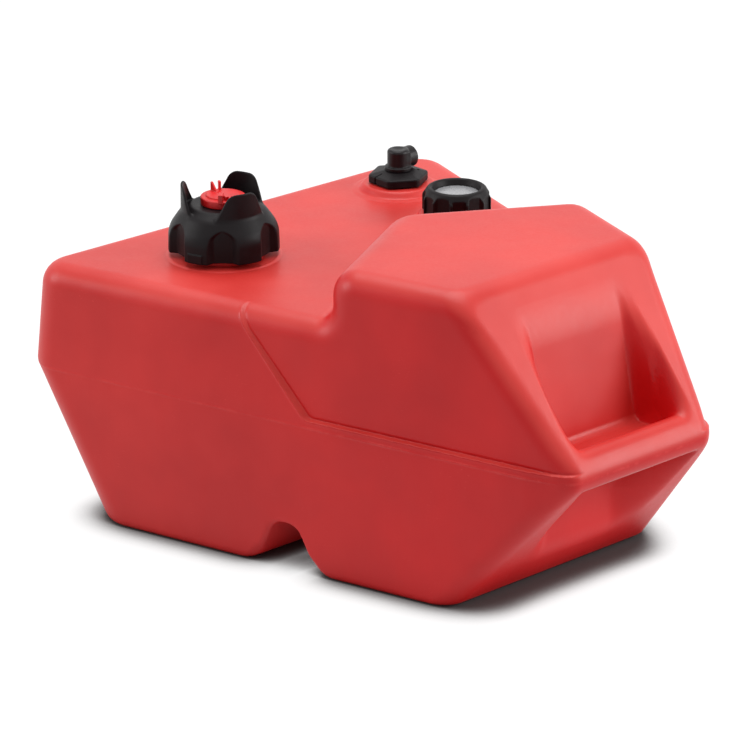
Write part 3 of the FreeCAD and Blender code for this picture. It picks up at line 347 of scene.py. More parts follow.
def wrapped(name, field, axes, smoothing=2, reach=1.0, lean=None):
    if lean:
        straight = lambda x, y, z: field(*np.moveaxis(lean(np.stack([x, y, z], -1)), -1, 0))
        place, faces = wrapField(straight, axes)
        place = lean(place)
    else:
        place, faces = wrapField(field, axes)
    place, normals = settle(field, place, faces, smoothing, reach)
    print(f"{name}: {len(faces)} faces")
    return meshFrom(name, place, faces, normals)


def towards(degrees, u, v):
    # the same point measured along and across a direction
    a = math.radians(degrees)
    return u * math.cos(a) + v * math.sin(a), v * math.cos(a) - u * math.sin(a)


def around(centre, x, y, z, turn=0):
    # the same point seen from a fitting's own axis and base, and its distance from that axis
    u, v = towards(turn, x - centre[0], y - centre[1])
    return u, v, z - centre[2], np.hypot(u, v)


def foldRound(u, v, count, turn=0):
    # the point turned into the sector of the nearest of count equal directions: along it and across it
    sector = 2 * math.pi / count
    angle = np.arctan2(v, u) - math.radians(turn)
    angle = angle - np.round(angle / sector) * sector
    rho = np.hypot(u, v)
    return rho * np.cos(angle), rho * np.sin(angle)


def profiled(rho, w, points, radii):
    # a convex turned body: its outline runs up through the points, with each corner rolled to its radius
    body, before = None, 0
    for start, end, radius in zip(points, points[1:], (0, *radii)):
        heading = math.atan2(end[1] - start[1], end[0] - start[0])
        side = wall(rho, w, start, end)
        body = side if body is None else meet(body, side, radius, math.cos(heading - before))
        before = heading
    return body


def block(a, b, c, low, high, radius=0.4):
    # a box between two corners, its edges rolled
    body = None
    for value, start, end in zip((a, b, c), low, high):
        side = np.abs(value - (start + end) / 2) - (end - start) / 2
        body = side if body is None else meet(body, side, radius)
    return body


def scallop(along, across, w, form):
    # the arched hollow between two lobes of a screw cap
    flare = form["recessFlare"]
    beyond = (along - form["recessFloor"]) * flare
    side = (np.abs(across) - form["recessHalf"] - beyond) / math.hypot(1, flare)
    recess = meet(side, w - form["recessTop"], form["archRadius"])
    return meet(recess, form["recessFloor"] - along, form["floorRadius"], form["floorCosine"])


def boxAxes(centre, box, step):
    low, high = box
    return tuple(bandAxis(middle + a, middle + b, step) for middle, a, b in zip(centre, low, high))


# tank shell
shell = dict(
    length=468, wideEnd=432, handleEnd=151, parting=118.7, deck=199, hump=240.5,
    wideBottomInset=57.7, handleBottomInset=100.4, bottomSideInset=1.5,
    deckEndInset=3.7, deckSideInset=6, handleTopInset=103,
    flankRecess=4.5, humpSideInset=8, humpCorner=41, humpApex=-43,
    ledge=5.5, stepBottom=18.5, stepTop=-46, stepWidth=1.5, stepRidge=1.6, stepFoot=6,
    cornerRadius=25, handleCorner=17, rimRadius=18, bottomRadius=7.5,
    humpRim=21, humpTip=32, creaseRadius=12,
    partingWidth=1.6, handlePartingWidth=15, handleStart=195, handleBlend=30,
    beadHeight=0.3, beadRight=0.75, beadWidth=0.9, beadBlend=12, beadEnd=222, beadFade=15,
    beadUneven=0.3, beadWaves=(0.11, 0.07), beadWander=2,
    step=3.3, margin=4,  # spacing of the surface's vertices, and the grid's reach past the shell
    fineStep=(5, 0.6), fineParting=(4, 1.0), finePocket=(-9, 9, 1.7),
)
# cosines between the outward normals of faces that meet
cosines = dict(
    ledgeAndStep=0.53, humpFaces=0.56, endAndFlank=-0.29, wallAndTop=0.07,
    flankAndSlope=0.22, topAndSlope=0.64, lowerEndAndFlank=-0.27, wallAndBottom=0.3,
    slopeAndPocket=0.885, slopeAndBar=-0.76, lowerSlopeAndPocket=0.76, lowerSlopeAndBar=0.64,
)


def flankOf(x, y, inset):
    s = shell
    taper = math.atan((s["wideEnd"] - s["handleEnd"]) / 2 / s["length"])
    reach = (s["wideEnd"] + s["handleEnd"]) / 4 * math.cos(taper)
    return np.abs(y) * math.cos(taper) + x * math.sin(taper) - reach + inset


def weighed(first, second, width):
    # how much the second face leads over the first, 0 to 1
    return np.clip(0.5 + (second - first) / (2 * width), 0, 1)


def flankInset(x, z):
    # the upper side wall is set back on the handle side of a slanting step, above a narrow ledge
    s = shell
    above = z - s["parting"]
    proud = s["deckSideInset"] * above / (s["deck"] - s["parting"])
    recessed = between(above / (s["hump"] - s["parting"]), s["flankRecess"], s["humpSideInset"])
    ledge = s["parting"] + s["ledge"]
    behindStep = -wall(x, z, (s["stepBottom"], ledge), (s["stepTop"], s["deck"]))
    region = -meet(ledge - z, behindStep, s["stepFoot"], cosines["ledgeAndStep"])
    edge = region / s["stepWidth"]
    ridge = s["stepRidge"] * edge * np.exp(-1.5 * edge ** 2)
    return between(softStep(region, s["stepWidth"]), proud, recessed) + ridge


def landscapeOf(x, y, z):
    # hump and deck as one landscape; the hump narrows to a tip over the deck
    s = shell
    tipX, cornerX = s["humpApex"], s["humpCorner"]
    slant = math.hypot(cornerX - tipX, s["wideEnd"] / 3)
    forward = -(x - tipX) * (s["wideEnd"] / 3) / slant
    sideways = y * (cornerX - tipX) / slant
    front = meet(forward - sideways, forward + sideways, s["humpTip"], cosines["humpFaces"])
    humpTop = meet(front, z - s["hump"], s["humpRim"])
    return join(z - s["deck"], humpTop, s["creaseRadius"])


def beadOf(x, y, z):
    # the ridge of flash along the parting line, uneven, higher below the recessed wall, gone at the handle
    s = shell
    rightward = np.clip((x - s["stepBottom"]) / s["beadBlend"] + 0.5, 0, 1)
    height = between(rightward, s["beadHeight"], s["beadRight"])
    along, across = s["beadWaves"]
    uneven = 1 - s["beadUneven"] + s["beadUneven"] * np.sin(x * along + s["beadWander"] * np.sin(y * across))
    profile = np.exp(-((z - s["parting"]) / s["beadWidth"]) ** 2)
    return height * profile * uneven * np.clip((s["beadEnd"] - x) / s["beadFade"], 0, 1)


def tankBody(x, y, z):
    s = shell
    half = s["length"] / 2
    upperFlank = flankOf(x, y, flankInset(x, z))
    lowerFlank = flankOf(x, y, (s["parting"] - z) / s["parting"] * s["bottomSideInset"])
    wideUpper = wall(x, z, (-half, s["parting"]), (-half + s["deckEndInset"], s["deck"])) * -1
    wideLower = wall(x, z, (-half + s["wideBottomInset"], 0), (-half, s["parting"])) * -1
    handleUpper = wall(x, z, (half, s["parting"]), (half - s["handleTopInset"], s["hump"]))
    handleLower = wall(x, z, (half - s["handleBottomInset"], 0), (half, s["parting"]))
    landscape = landscapeOf(x, y, z)
    # upper walls, top, and the sloping end that carries the handle
    upper = meet(wideUpper, upperFlank, s["cornerRadius"], cosines["endAndFlank"])
    upper = meet(upper, landscape, s["rimRadius"], cosines["wallAndTop"])
    lead = weighed(upperFlank, landscape, s["humpRim"])
    rim = between(lead, s["handleCorner"], s["humpRim"])
    upper = meet(upper, handleUpper, rim, between(lead, cosines["flankAndSlope"], cosines["topAndSlope"]))
    lower = meet(wideLower, lowerFlank, s["cornerRadius"], cosines["lowerEndAndFlank"])
    lower = meet(lower, handleLower, s["handleCorner"], cosines["flankAndSlope"])
    lower = meet(lower, -z, s["bottomRadius"], cosines["wallAndBottom"])
    towardsHandle = np.clip((x - s["handleStart"]) / s["handleBlend"], 0, 1)
    rounding = between(towardsHandle, s["partingWidth"], s["handlePartingWidth"])
    return softer(upper, lower, rounding) - beadOf(x, y, z)


# finger pockets above and below the handle bar
grips = dict(
    floor=121, back=174, backTop=156.5, backTopHeight=209, backWidth=101, frontWidth=105,
    bar=204, barFoot=6, barRim=11, barBlend=8, topRim=75, floorRadius=5,
    sideOut=9.5, sideIn=5, sideSteepness=1.35, sideSoftness=0.35,
    ceiling=109, lowerBack=163, lowerBackWidth=96, lowerFrontWidth=122,
    lowerBackRim=30, lowerBarRim=4, lowerBarBlend=6, ceilingRadius=6,
    lowerOut=9, lowerIn=16, sideFade=40, sideLeast=0.15,
)


def flaredSide(x, y, back, backWidth, front, frontWidth):
    flare = (frontWidth - backWidth) / 2 / (front - back)
    return np.abs(y) - backWidth / 2 - (x - back) * flare


def sunk(body, scooped, side, outside, inside):
    # scooped between two side walls; each starts as a long curve outside and ends steeply on the back wall
    t = np.clip((outside - side) / (outside + inside), 0, 1)
    depth = -softer(-grips["sideSteepness"] * t * t, -1, grips["sideSoftness"])
    return body + (scooped - body) * depth


def upperPocket(x, y, z, body):
    g = grips
    back = wall(x, z, (g["back"], g["floor"]), (g["backTop"], g["backTopHeight"])) * -1
    back = -meet(body, -back, g["topRim"], cosines["slopeAndPocket"])
    bar = x - g["bar"]
    pocket = meet(meet(back, g["floor"] - z, g["floorRadius"]), bar, g["barFoot"])
    scooped = cutFrom(body, pocket, g["barRim"] * weighed(back, bar, g["barBlend"]), cosines["slopeAndBar"])
    side = flaredSide(x, y, g["back"], g["backWidth"], g["bar"], g["frontWidth"])
    return sunk(body, scooped, side, g["sideOut"], g["sideIn"])


def lowerPocket(x, y, z, body):
    g = grips
    back = -meet(body, x - g["lowerBack"], g["lowerBackRim"], cosines["lowerSlopeAndPocket"])
    ceiling = z - g["ceiling"]
    pocket = meet(back, ceiling, g["ceilingRadius"])
    rim = g["lowerBarRim"] * weighed(back, ceiling, g["lowerBarBlend"])
    scooped = cutFrom(body, pocket, rim, cosines["lowerSlopeAndBar"])
    side = flaredSide(x, y, g["lowerBack"], g["lowerBackWidth"], shell["length"] / 2, g["lowerFrontWidth"])
    crisp = np.clip((g["ceiling"] - z) / g["sideFade"], g["sideLeast"], 1)
    return sunk(body, scooped, side, g["lowerOut"] * crisp, g["lowerIn"] * crisp)


# strap groove across the underside
groove = dict(
    x=-1.2, width=54, topWidth=19, height=37, topRadius=12,
    edgeLow=12, edgeHigh=3, edgeRise=16,  # its edge is rounder where the side wall meets the floor
)


def strapGroove(x, z):
    g = groove
    slope = (g["width"] - g["topWidth"]) / 2 / g["height"]
    side = (np.abs(x - g["x"]) - g["width"] / 2 + z * slope) / math.hypot(1, slope)
    return meet(side, z - g["height"], g["topRadius"], slope / math.hypot(1, slope))


def tankField(x, y, z):
    solid = tankBody(x, y, z)
    solid = lowerPocket(x, y, z, upperPocket(x, y, z, solid))
    edge = between(np.clip(z / groove["edgeRise"], 0, 1), groove["edgeLow"], groove["edgeHigh"])
    return cutFrom(solid, strapGroove(x, z), edge)


def leaned(place):
    # the grid leans with the step in the side walls, so that the step runs along its lines
    s = shell
    reach = s["deck"] - s["parting"] - s["ledge"]
    rise = np.clip(place[..., 2] - s["parting"] - s["ledge"], 0, reach)
    shifted = place.copy()
    shifted[..., 0] += rise * (s["stepTop"] - s["stepBottom"]) / reach
    return shifted


def makeTank():
    s = shell
    halfLength, halfWidth = s["length"] / 2, s["wideEnd"] / 2
    nearStep, stepPace = s["fineStep"]
    nearParting, partingPace = s["fineParting"]
    inward, outward, pocketPace = s["finePocket"]
    pocketSide = (grips["backWidth"] + 1) / 2
    axes = (
        bandAxis(-halfLength - s["margin"], halfLength + s["stepBottom"] - s["stepTop"], s["step"],
                 ((s["stepBottom"] - nearStep, s["stepBottom"] + nearStep, stepPace),)),
        bandAxis(-halfWidth - s["margin"], halfWidth + s["margin"], s["step"],
                 ((-pocketSide - outward, -pocketSide - inward, pocketPace),
                  (pocketSide + inward, pocketSide + outward, pocketPace))),
        bandAxis(-s["margin"] - 1, s["hump"] + s["margin"] + 1, s["step"],
                 ((s["parting"] - nearParting, s["parting"] + s["ledge"] + nearParting, partingPace),)),
    )
    tank = wrapped("tank_body", tankField, axes, reach=1.5, lean=leaned)
    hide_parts("tank_shell")
    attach(tank, "tank")
    return tank


def lathed(name, centre, outline, rings=96, wave=None):
    # an outline of (radius, height) pairs turned round an upright axis; wave adds to the radius
    turns = np.linspace(0, 2 * math.pi, rings, endpoint=False)
    rows = []
    for radius, height in outline:
        reach = radius + (wave(turns, radius, height) if wave else 0)
        rows.append(np.stack([centre[0] + reach * np.cos(turns), centre[1] + reach * np.sin(turns),
                              np.full(rings, centre[2] + height)], 1))
    here = np.arange(len(rows) * rings).reshape(-1, rings)
    after = np.roll(here, -1, 1)
    faces = np.stack([here[:-1], after[:-1], after[1:], here[1:]], -1).reshape(-1, 4)
    return meshFrom(name, np.concatenate(rows), faces)


# necks, with the ridges of their screw threads
necks = {
    "filler": {"centre": (-139.3, -84.7, 199), "radius": 31.4, "bore": 27, "height": 27, "pitch": 4},
    "gauge": {"centre": (-80, 101.5, 199), "radius": 20.9, "bore": 17.5, "height": 15, "pitch": 3},
}
neckForm = dict(foot=-4, lip=0.6, threadDepth=0.5, threadStart=3, threadEnd=1.5, rows=0.35)


def makeNecks():
    made = []
    n = neckForm
    for name, neck in necks.items():
        wide, bore, top = neck["radius"], neck["bore"], neck["height"]
        foot, lip = n["foot"], n["lip"]

        def thread(turns, radius, height):
            if radius < wide or not n["threadStart"] <= height <= top - n["threadEnd"]:
                return 0
            ridge = np.sin(turns + 2 * math.pi * height / neck["pitch"])
            return (np.clip(ridge * 2, -1, 1) - 1) * n["threadDepth"] / 2

        count = int((top - foot) / n["rows"])
        outline = [(wide, foot + n["rows"] * row) for row in range(count)]
        outline += [(wide, top - lip), (wide - lip, top), (bore + lip, top), (bore, top - lip), (bore, foot)]
        made.append(lathed(f"{name}_neck", neck["centre"], outline, wave=thread))
        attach(made[-1], "tank")
    return made


# low bosses on the deck round the necks
bosses = {
    "filler": {"centre": (-139.3, -84.7), "points": ((45, 0), (41.5, 1), (30, 1))},
    "gauge": {"centre": (-80, 101.5), "points": ((34, 0), (28, 6.5), (20, 6.5))},
    "pickup": {"centre": (-168, 119), "points": ((38.5, 0), (33, 0.9), (27, 5.9), (20, 6))},
}
bossLift = 0.02


def eased(points, steps=10):
    # an outline through the points, level at each of them
    outline = []
    for (startRadius, startHeight), (endRadius, endHeight) in zip(points, points[1:]):
        for t in np.linspace(0, 1, steps, endpoint=False):
            rise = (1 - math.cos(math.pi * t)) / 2
            outline.append((between(t, startRadius, endRadius), between(rise, startHeight, endHeight)))
    return outline + [points[-1]]


def makeBosses():
    made = []
    for name, boss in bosses.items():
        centre = (*boss["centre"], shell["deck"] + bossLift)
        made.append(lathed(f"{name}_boss", centre, eased(boss["points"]), rings=128))
        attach(made[-1], "tank")
    return made


tank = makeTank()
raisedRings = makeNecks() + makeBosses()
print("tank is shaped")


# filler cap
cap = dict(
    centre=(-139.3, -84.7, 204), turn=-40.6,
    box=((-46, -46, -2), (46, 46, 54)), step=0.75,  # the grid round it
    outline=((42.6, -2), (42.1, 18), (33, 31), (25, 36), (0, 36)), outlineRadii=(20, 12, 5),
    cavity=((35.4, -5), (35.4, 23.6), (31.8, 28.1), (24, 33), (0, 33)), hole=5.5,
    inner=0.5, foot=0.6,
    lobes=6, recessFloor=36.4, recessHalf=7, recessFlare=1.1, recessTop=26, archRadius=8,
    floorRadius=1.6, floorCosine=0.6, recessEdge=2.2, recessCosine=0.45,
    padTurn=-30, padLow=(36.4, -6.4, 0), padHigh=(42.95, 6.4, 7.4), padEdge=0.4, padFoot=0.3,
    wings=3, wingTurn=30, wingMiddle=31.2, wingThickness=2.4, wingTaper=0.4, wingEdge=0.8,
    wingRoot=27.4, wingTop=52, wingLow=(16, 27.5), wingHigh=(52, 10.5),
    wingCorner=9, wingCosine=0.42, wingFoot=1.6,
)


def wingField(u, v, w):
    c = cap
    rho = np.hypot(u, v)
    along, across = foldRound(u, v, c["wings"], c["wingTurn"])
    slope = wall(np.abs(across), w, c["wingLow"][::-1], c["wingHigh"][::-1])
    outline = meet(slope, w - c["wingTop"], c["wingCorner"], c["wingCosine"])
    taper = (w - c["wingRoot"]) / (c["wingTop"] - c["wingRoot"]) * c["wingTaper"]
    plate = np.abs(rho - c["wingMiddle"]) - c["wingThickness"] / 2 + taper
    wing = meet(plate, outline, c["wingEdge"])
    return np.maximum(np.maximum(wing, c["wingRoot"] - w), -along)


def capField(x, y, z):
    c = cap
    u, v, w, rho = around(c["centre"], x, y, z, c["turn"])
    body = profiled(rho, w, c["outline"], c["outlineRadii"])
    pad = block(*towards(c["padTurn"], u, v), w, c["padLow"], c["padHigh"], c["padEdge"])
    body = join(body, pad, c["padFoot"])
    recess = scallop(*foldRound(u, v, c["lobes"]), w, c)
    body = cutFrom(body, recess, c["recessEdge"], c["recessCosine"])
    body = join(body, wingField(u, v, w), c["wingFoot"])
    cavity = profiled(rho, w, c["cavity"], (c["inner"],) * 3)
    body = cutFrom(body, np.minimum(cavity, rho - c["hole"]), c["inner"])
    return meet(body, -w, c["foot"])


capGrip = wrapped("cap_grip", capField, boxAxes(cap["centre"], cap["box"], cap["step"]))
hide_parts("filler_cap")
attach(capGrip, "cap")


# threaded closure that the cap drives
insert = dict(
    centre=(-139.3, -84.7, 204), box=((-37, -37, 4), (37, 37, 34)), step=0.7, low=5,
    outline=((35.2, 0), (35.2, 23.5), (31.6, 27.8), (0, 27.8)), outlineRadii=(0.8, 0.8),
    bore=31.8, boreTop=24.8, boreEdge=0.3, threadDepth=0.12, threadPitch=4,
    turretRadius=14, turretLow=20, turretTop=33, turretEdge=0.5, turretFoot=0.8,
    chamber=7, seat=2.8, seatTop=27.8, breather=(20, 0), breatherRadius=2.4,
)


def insertField(x, y, z):
    i = insert
    u, v, w, rho = around(i["centre"], x, y, z)
    body = np.maximum(profiled(rho, w, i["outline"], i["outlineRadii"]), i["low"] - w)
    turret = meet(rho - i["turretRadius"], w - i["turretTop"], i["turretEdge"])
    body = join(body, np.maximum(turret, i["turretLow"] - w), i["turretFoot"])
    thread = i["threadDepth"] * np.sin(np.arctan2(v, u) + 2 * math.pi * w / i["threadPitch"])
    body = cutFrom(body, np.maximum(rho - i["bore"] - thread, w - i["boreTop"]), i["boreEdge"])
    body = np.maximum(body, -np.maximum(rho - i["chamber"], i["seatTop"] - w))
    hole = np.hypot(u - i["breather"][0], v - i["breather"][1]) - i["breatherRadius"]
    return np.maximum(body, -np.minimum(hole, rho - i["seat"]))


grid = boxAxes(insert["centre"], insert["box"], insert["step"])
closure = wrapped("cap_closure", insertField, grid, smoothing=1)
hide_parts("filler_insert")
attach(closure, "cap")


# vent knob
knob = dict(
    centre=(-139.3, -84.7, 204), turn=-40.6, box=((-19, -19, 30.5), (19, 19, 52)), step=0.45,
    low=36.3, high=42.3, outline=((17.1, 36.3), (17.3, 42.3), (0, 42.3)),
    rim=1.1, lowEdge=0.5,
    tier=((13, 30), (13, 43.5), (0, 43.5)), tierTop=43.5, tierEdge=0.5, tierFoot=0.4,
    stemRadius=5, stem=(31.9, 38.1), lipRadius=5.5, lip=(31.9, 32.7),
    bore=2.7, boreTop=38.4,
    finTurn=225, finInner=6.4, finOuter=13, finSlant=1.6, finTop=50.4, finHalf=0.85,
    finCrest=(0.8, -0.73), finTip=(0.6, 0.1),  # radius, and cosine between the faces
    finFoot=0.5, blockEdge=0.35, blockFoot=0.3,
    blocks=(  # turn, low corner and high corner, along and across the turn
        (-5, (9.5, -1.8, 40.6), (17.7, 1.8, 47.8)),
        (14, (11, -1.6, 43), (14.2, 1.6, 45.6)),
        (38, (11.2, -1.2, 43), (13.4, 1.2, 45)),
        (195, (9.4, -1, 42), (12.9, 1, 50.2)),
    ),
)


def finField(along, across, w):
    k = knob
    slope = -wall(along, w, (k["finInner"], k["tierTop"]), (k["finOuter"] - k["finSlant"], k["finTop"]))
    fin = meet(slope, along - k["finOuter"], *k["finCrest"])
    fin = meet(fin, w - k["finTop"], *k["finTip"])
    fin = meet(fin, np.abs(across) - k["finHalf"], k["blockEdge"])
    return np.maximum(fin, k["high"] - 1 - w)


def slab(w, span):
    low, high = span
    return np.abs(w - (low + high) / 2) - (high - low) / 2


def drum(rho, w, radius, span):
    return np.maximum(rho - radius, slab(w, span))


def cleft(u, v, turn, half, start):
    # a narrow cut along a direction, from start outwards
    along, across = towards(turn, u, v)
    return np.maximum(np.abs(across) - half, start - along)


def knobField(x, y, z):
    k = knob
    u, v, w, rho = around(k["centre"], x, y, z, k["turn"])
    body = meet(profiled(rho, w, k["outline"], (k["rim"],)), k["low"] - w, k["lowEdge"])
    tier = profiled(rho, w, k["tier"], (k["tierEdge"],))
    body = join(body, np.maximum(tier, k["low"] + 1 - w), k["tierFoot"])
    for turn, low, high in k["blocks"]:
        body = join(body, block(*towards(turn, u, v), w, low, high, k["blockEdge"]), k["blockFoot"])
    body = join(body, finField(*towards(k["finTurn"], u, v), w), k["finFoot"])
    body = np.minimum(body, drum(rho, w, k["stemRadius"], k["stem"]))
    body = np.minimum(body, drum(rho, w, k["lipRadius"], k["lip"]))
    return np.maximum(body, -np.maximum(rho - k["bore"], w - k["boreTop"]))


ventDial = wrapped("vent_dial", knobField, boxAxes(knob["centre"], knob["box"], knob["step"]))
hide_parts("vent_knob")
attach(ventDial, "knob")


# gauge cap and its window
gauge = dict(
    centre=(-80, 101.5, 199), turn=-8, box=((-30, -30, 5), (30, 30, 29)), step=0.55,
    outline=((27.5, 5), (27.5, 19.8), (22.6, 27.3), (0, 27.3)), outlineRadii=(4, 3.4),
    low=6.8, lowEdge=0.5, cavityRadius=21.3, cavityTop=22.4,
    windowLow=(17, 22.4), windowHigh=(19.6, 27.3), windowEdge=1.4, windowCosine=0.2,
    lobes=6, recessFloor=24.4, recessHalf=5, recessFlare=1.0, recessTop=25.4,
    archRadius=2.4, floorRadius=0.8, floorCosine=0.6, recessEdge=0.9, recessCosine=0.4,
    slotHalf=5.4, slotFloor=25.4, slotTop=22.6, slotEdge=0.4,
    glass=((0.01, 18.6), (18.9, 18.6), (18.9, 21.9), (18.6, 22.2), (9, 22.35), (0.01, 22.4)),
)


def gaugeField(x, y, z):
    g = gauge
    u, v, w, rho = around(g["centre"], x, y, z, g["turn"])
    body = profiled(rho, w, g["outline"], g["outlineRadii"])
    recess = scallop(*foldRound(u, v, g["lobes"]), w, g)
    body = cutFrom(body, recess, g["recessEdge"], g["recessCosine"])
    along, across = foldRound(u, v, g["lobes"], 180 / g["lobes"])
    slot = np.maximum(np.abs(across) - g["slotHalf"], np.maximum(w - g["slotTop"], g["slotFloor"] - along))
    body = cutFrom(body, slot, g["slotEdge"])
    window = -wall(rho, w, g["windowLow"], g["windowHigh"])
    body = meet(body, window, g["windowEdge"], g["windowCosine"])
    cavity = np.maximum(rho - g["cavityRadius"], w - g["cavityTop"])
    return meet(np.maximum(body, -cavity), g["low"] - w, g["lowEdge"])


gaugeRing = wrapped("gauge_ring", gaugeField, boxAxes(gauge["centre"], gauge["box"], gauge["step"]))
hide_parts("gauge_cap")
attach(gaugeRing, "tank")
gaugeGlass = lathed("gauge_glass", gauge["centre"], gauge["glass"])
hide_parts("gauge_lens")
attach(gaugeGlass, "tank")


# pickup fitting: the hexagon and the elbow that turns in it
pickup = dict(
    centre=(-168, 119, 205),
    hexBox=((-27, -24, -17), (27, 24, 12)), hexStep=0.5, hexTurn=30,
    half=21.5, low=1, shoulder=7.2, top=10, slope=15, cornerRadius=4.6,
    facetRadius=12, facetCosine=0.966,
    edgeRadius=1.5, topRadius=2, lowRadius=0.4,
    stemRadius=10.3, stem=(-15.6, 3), bore=6.15, chamber=5.2, chamberTop=2,
    slitTurn=-100, slitHalf=0.45, slitReach=15, slitEdge=0.3,
    dimpleTurn=56, dimple=(16.2, 0, 9), dimpleRadius=1.17,
    elbowBox=((-13, -13, -1), (13, 17, 28)), elbowStep=0.4,
    post=((8.8, 0), (8.8, 27.4), (0, 27.4)), postLow=12, postTop=27.4, postRim=2.6,
    backLow=(0, -8.7, 11), backHigh=(5.8, 8.7, 25.8), backEdge=0.8, backFoot=0.5,
    dishRadius=14, dishDepth=0.8, dishEdge=0.8, dishCosine=0.9,
    collar=((10.7, 10.2), (10.9, 13.5), (0, 13.5)), collarRim=0.9, collarEdge=0.4,
    collarGap=0.2, collarFoot=0.7,
    splitTurn=-60, splitHalf=0.5, splitReach=6,
    spigot=5.9, spigotSpan=(0.4, 11.6), spigotEdge=0.4,
    outletTurn=92, outletHeight=18.6, outletRadius=8.5, outletEnd=14.5, outletEdge=0.7,
    outletFoot=0.9, port=5.4, portDepth=11, threadDepth=0.15, threadPitch=1.4, passage=2.6,
)


def flangeField(x, y, z):
    p = pickup
    u, v, w, rho = around(p["centre"], x, y, z)
    along, across = foldRound(u, v, 6, p["hexTurn"])
    beside = along * 0.5 + np.abs(across) * math.sqrt(0.75)  # how far out towards the next side
    side = meet(along - p["half"], beside - p["half"], p["cornerRadius"], 0.5)
    a = math.radians(p["slope"])
    rise = (w - p["shoulder"]) * math.cos(a)
    facets = [rise + (reach - p["half"]) * math.sin(a) for reach in (along, beside)]
    crown = meet(*facets, p["facetRadius"], p["facetCosine"])
    body = meet(side, crown, p["edgeRadius"], math.sin(a))
    body = meet(body, w - p["top"], p["topRadius"], math.cos(a))
    body = meet(body, p["low"] - w, p["lowRadius"])
    body = np.minimum(body, drum(rho, w, p["stemRadius"], p["stem"]))
    slit = cleft(u, v, p["slitTurn"], p["slitHalf"], p["slitReach"])
    along, across = towards(p["dimpleTurn"], u, v)
    reach, aside, height = p["dimple"]
    dimple = np.sqrt((along - reach) ** 2 + (across - aside) ** 2 + (w - height) ** 2) - p["dimpleRadius"]
    body = cutFrom(body, np.minimum(slit, dimple), p["slitEdge"])
    hollow = np.minimum(rho - p["bore"], np.maximum(rho - p["chamber"], w - p["chamberTop"]))
    return np.maximum(body, -hollow)


def elbowField(x, y, z):
    p = pickup
    u, v, w, rho = around(p["centre"], x, y, z, p["outletTurn"])
    post = np.maximum(profiled(rho, w, p["post"], (p["postRim"],)), p["postLow"] - w)
    post = join(post, block(u, v, w, p["backLow"], p["backHigh"], p["backEdge"]), p["backFoot"])
    outlet = np.hypot(v, w - p["outletHeight"])
    stub = meet(outlet - p["outletRadius"], slab(u, (0, p["outletEnd"])), p["outletEdge"])
    body = join(post, stub, p["outletFoot"])
    collar = profiled(rho, w, p["collar"], (p["collarRim"],))
    collar = meet(collar, p["top"] + p["collarGap"] - w, p["collarEdge"])
    split = cleft(u, v, p["splitTurn"], p["splitHalf"], p["splitReach"])
    body = join(body, cutFrom(collar, split, p["slitEdge"]), p["collarFoot"])
    dishHeight = p["postTop"] + p["dishRadius"] - p["dishDepth"]
    dish = p["dishRadius"] - np.sqrt(rho ** 2 + (w - dishHeight) ** 2)
    body = meet(body, dish, p["dishEdge"], p["dishCosine"])
    body = np.minimum(body, meet(rho - p["spigot"], slab(w, p["spigotSpan"]), p["spigotEdge"]))
    thread = p["threadDepth"] * np.sin(u * 2 * math.pi / p["threadPitch"])
    port = np.maximum(outlet - p["port"] - thread, p["outletEnd"] - p["portDepth"] - u)
    way = np.maximum(outlet - p["passage"], -u)
    rise = np.maximum(rho - p["passage"], w - p["outletHeight"])
    return np.maximum(body, -np.minimum(port, np.minimum(way, rise)))


grid = boxAxes(pickup["centre"], pickup["hexBox"], pickup["hexStep"])
hexagon = wrapped("pickup_hexagon", flangeField, grid)
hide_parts("pickup_flange")
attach(hexagon, "tank")
grid = boxAxes(pickup["centre"], pickup["elbowBox"], pickup["elbowStep"])
elbow = wrapped("pickup_elbow", elbowField, grid)
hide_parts("outlet_elbow")
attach(elbow, "elbow")
print("fittings are shaped")


# finishes
red = dict(
    deep=srgb(196, 6, 12), pale=srgb(214, 24, 26), patches=(0.35, 0.7), specular=0.38,
    cloud=90,  # size of the slow changes of tone
    drag=2.2,  # spacing of the fine upright streaks left by the mould
    grain=1.1, swell=34,
    paintedSheenDeep=srgb(205, 48, 43), paintedSheenPale=srgb(219, 65, 59),  # painted sheen: a paler tone on faces turned towards the light from above
    sky=(0.6, 0, 1), sheenFrom=0.55, sheenTo=0.95,
    sheenAlong=(-0.24, 0.12, 0.5, 0),  # the painted sheen's paler tone also grows towards the wide end
    # pale tone of the scratches, and of the painted highlight along the parting line
    scuffAndHighlight=srgb(226, 66, 62), partingHeight=0.1187, partingReach=(0.0004, 0.0016),
    seamHighlightStrength=0.3, scratches=0.42,
    roughness=(0.36, 0.46), streakRoughness=0.03, scratchRoughness=0.08,
    relief=(0.05, 0.06, 1.2, 0.05), reliefDepth=0.5,  # of grain, drag, swell and scratches
)


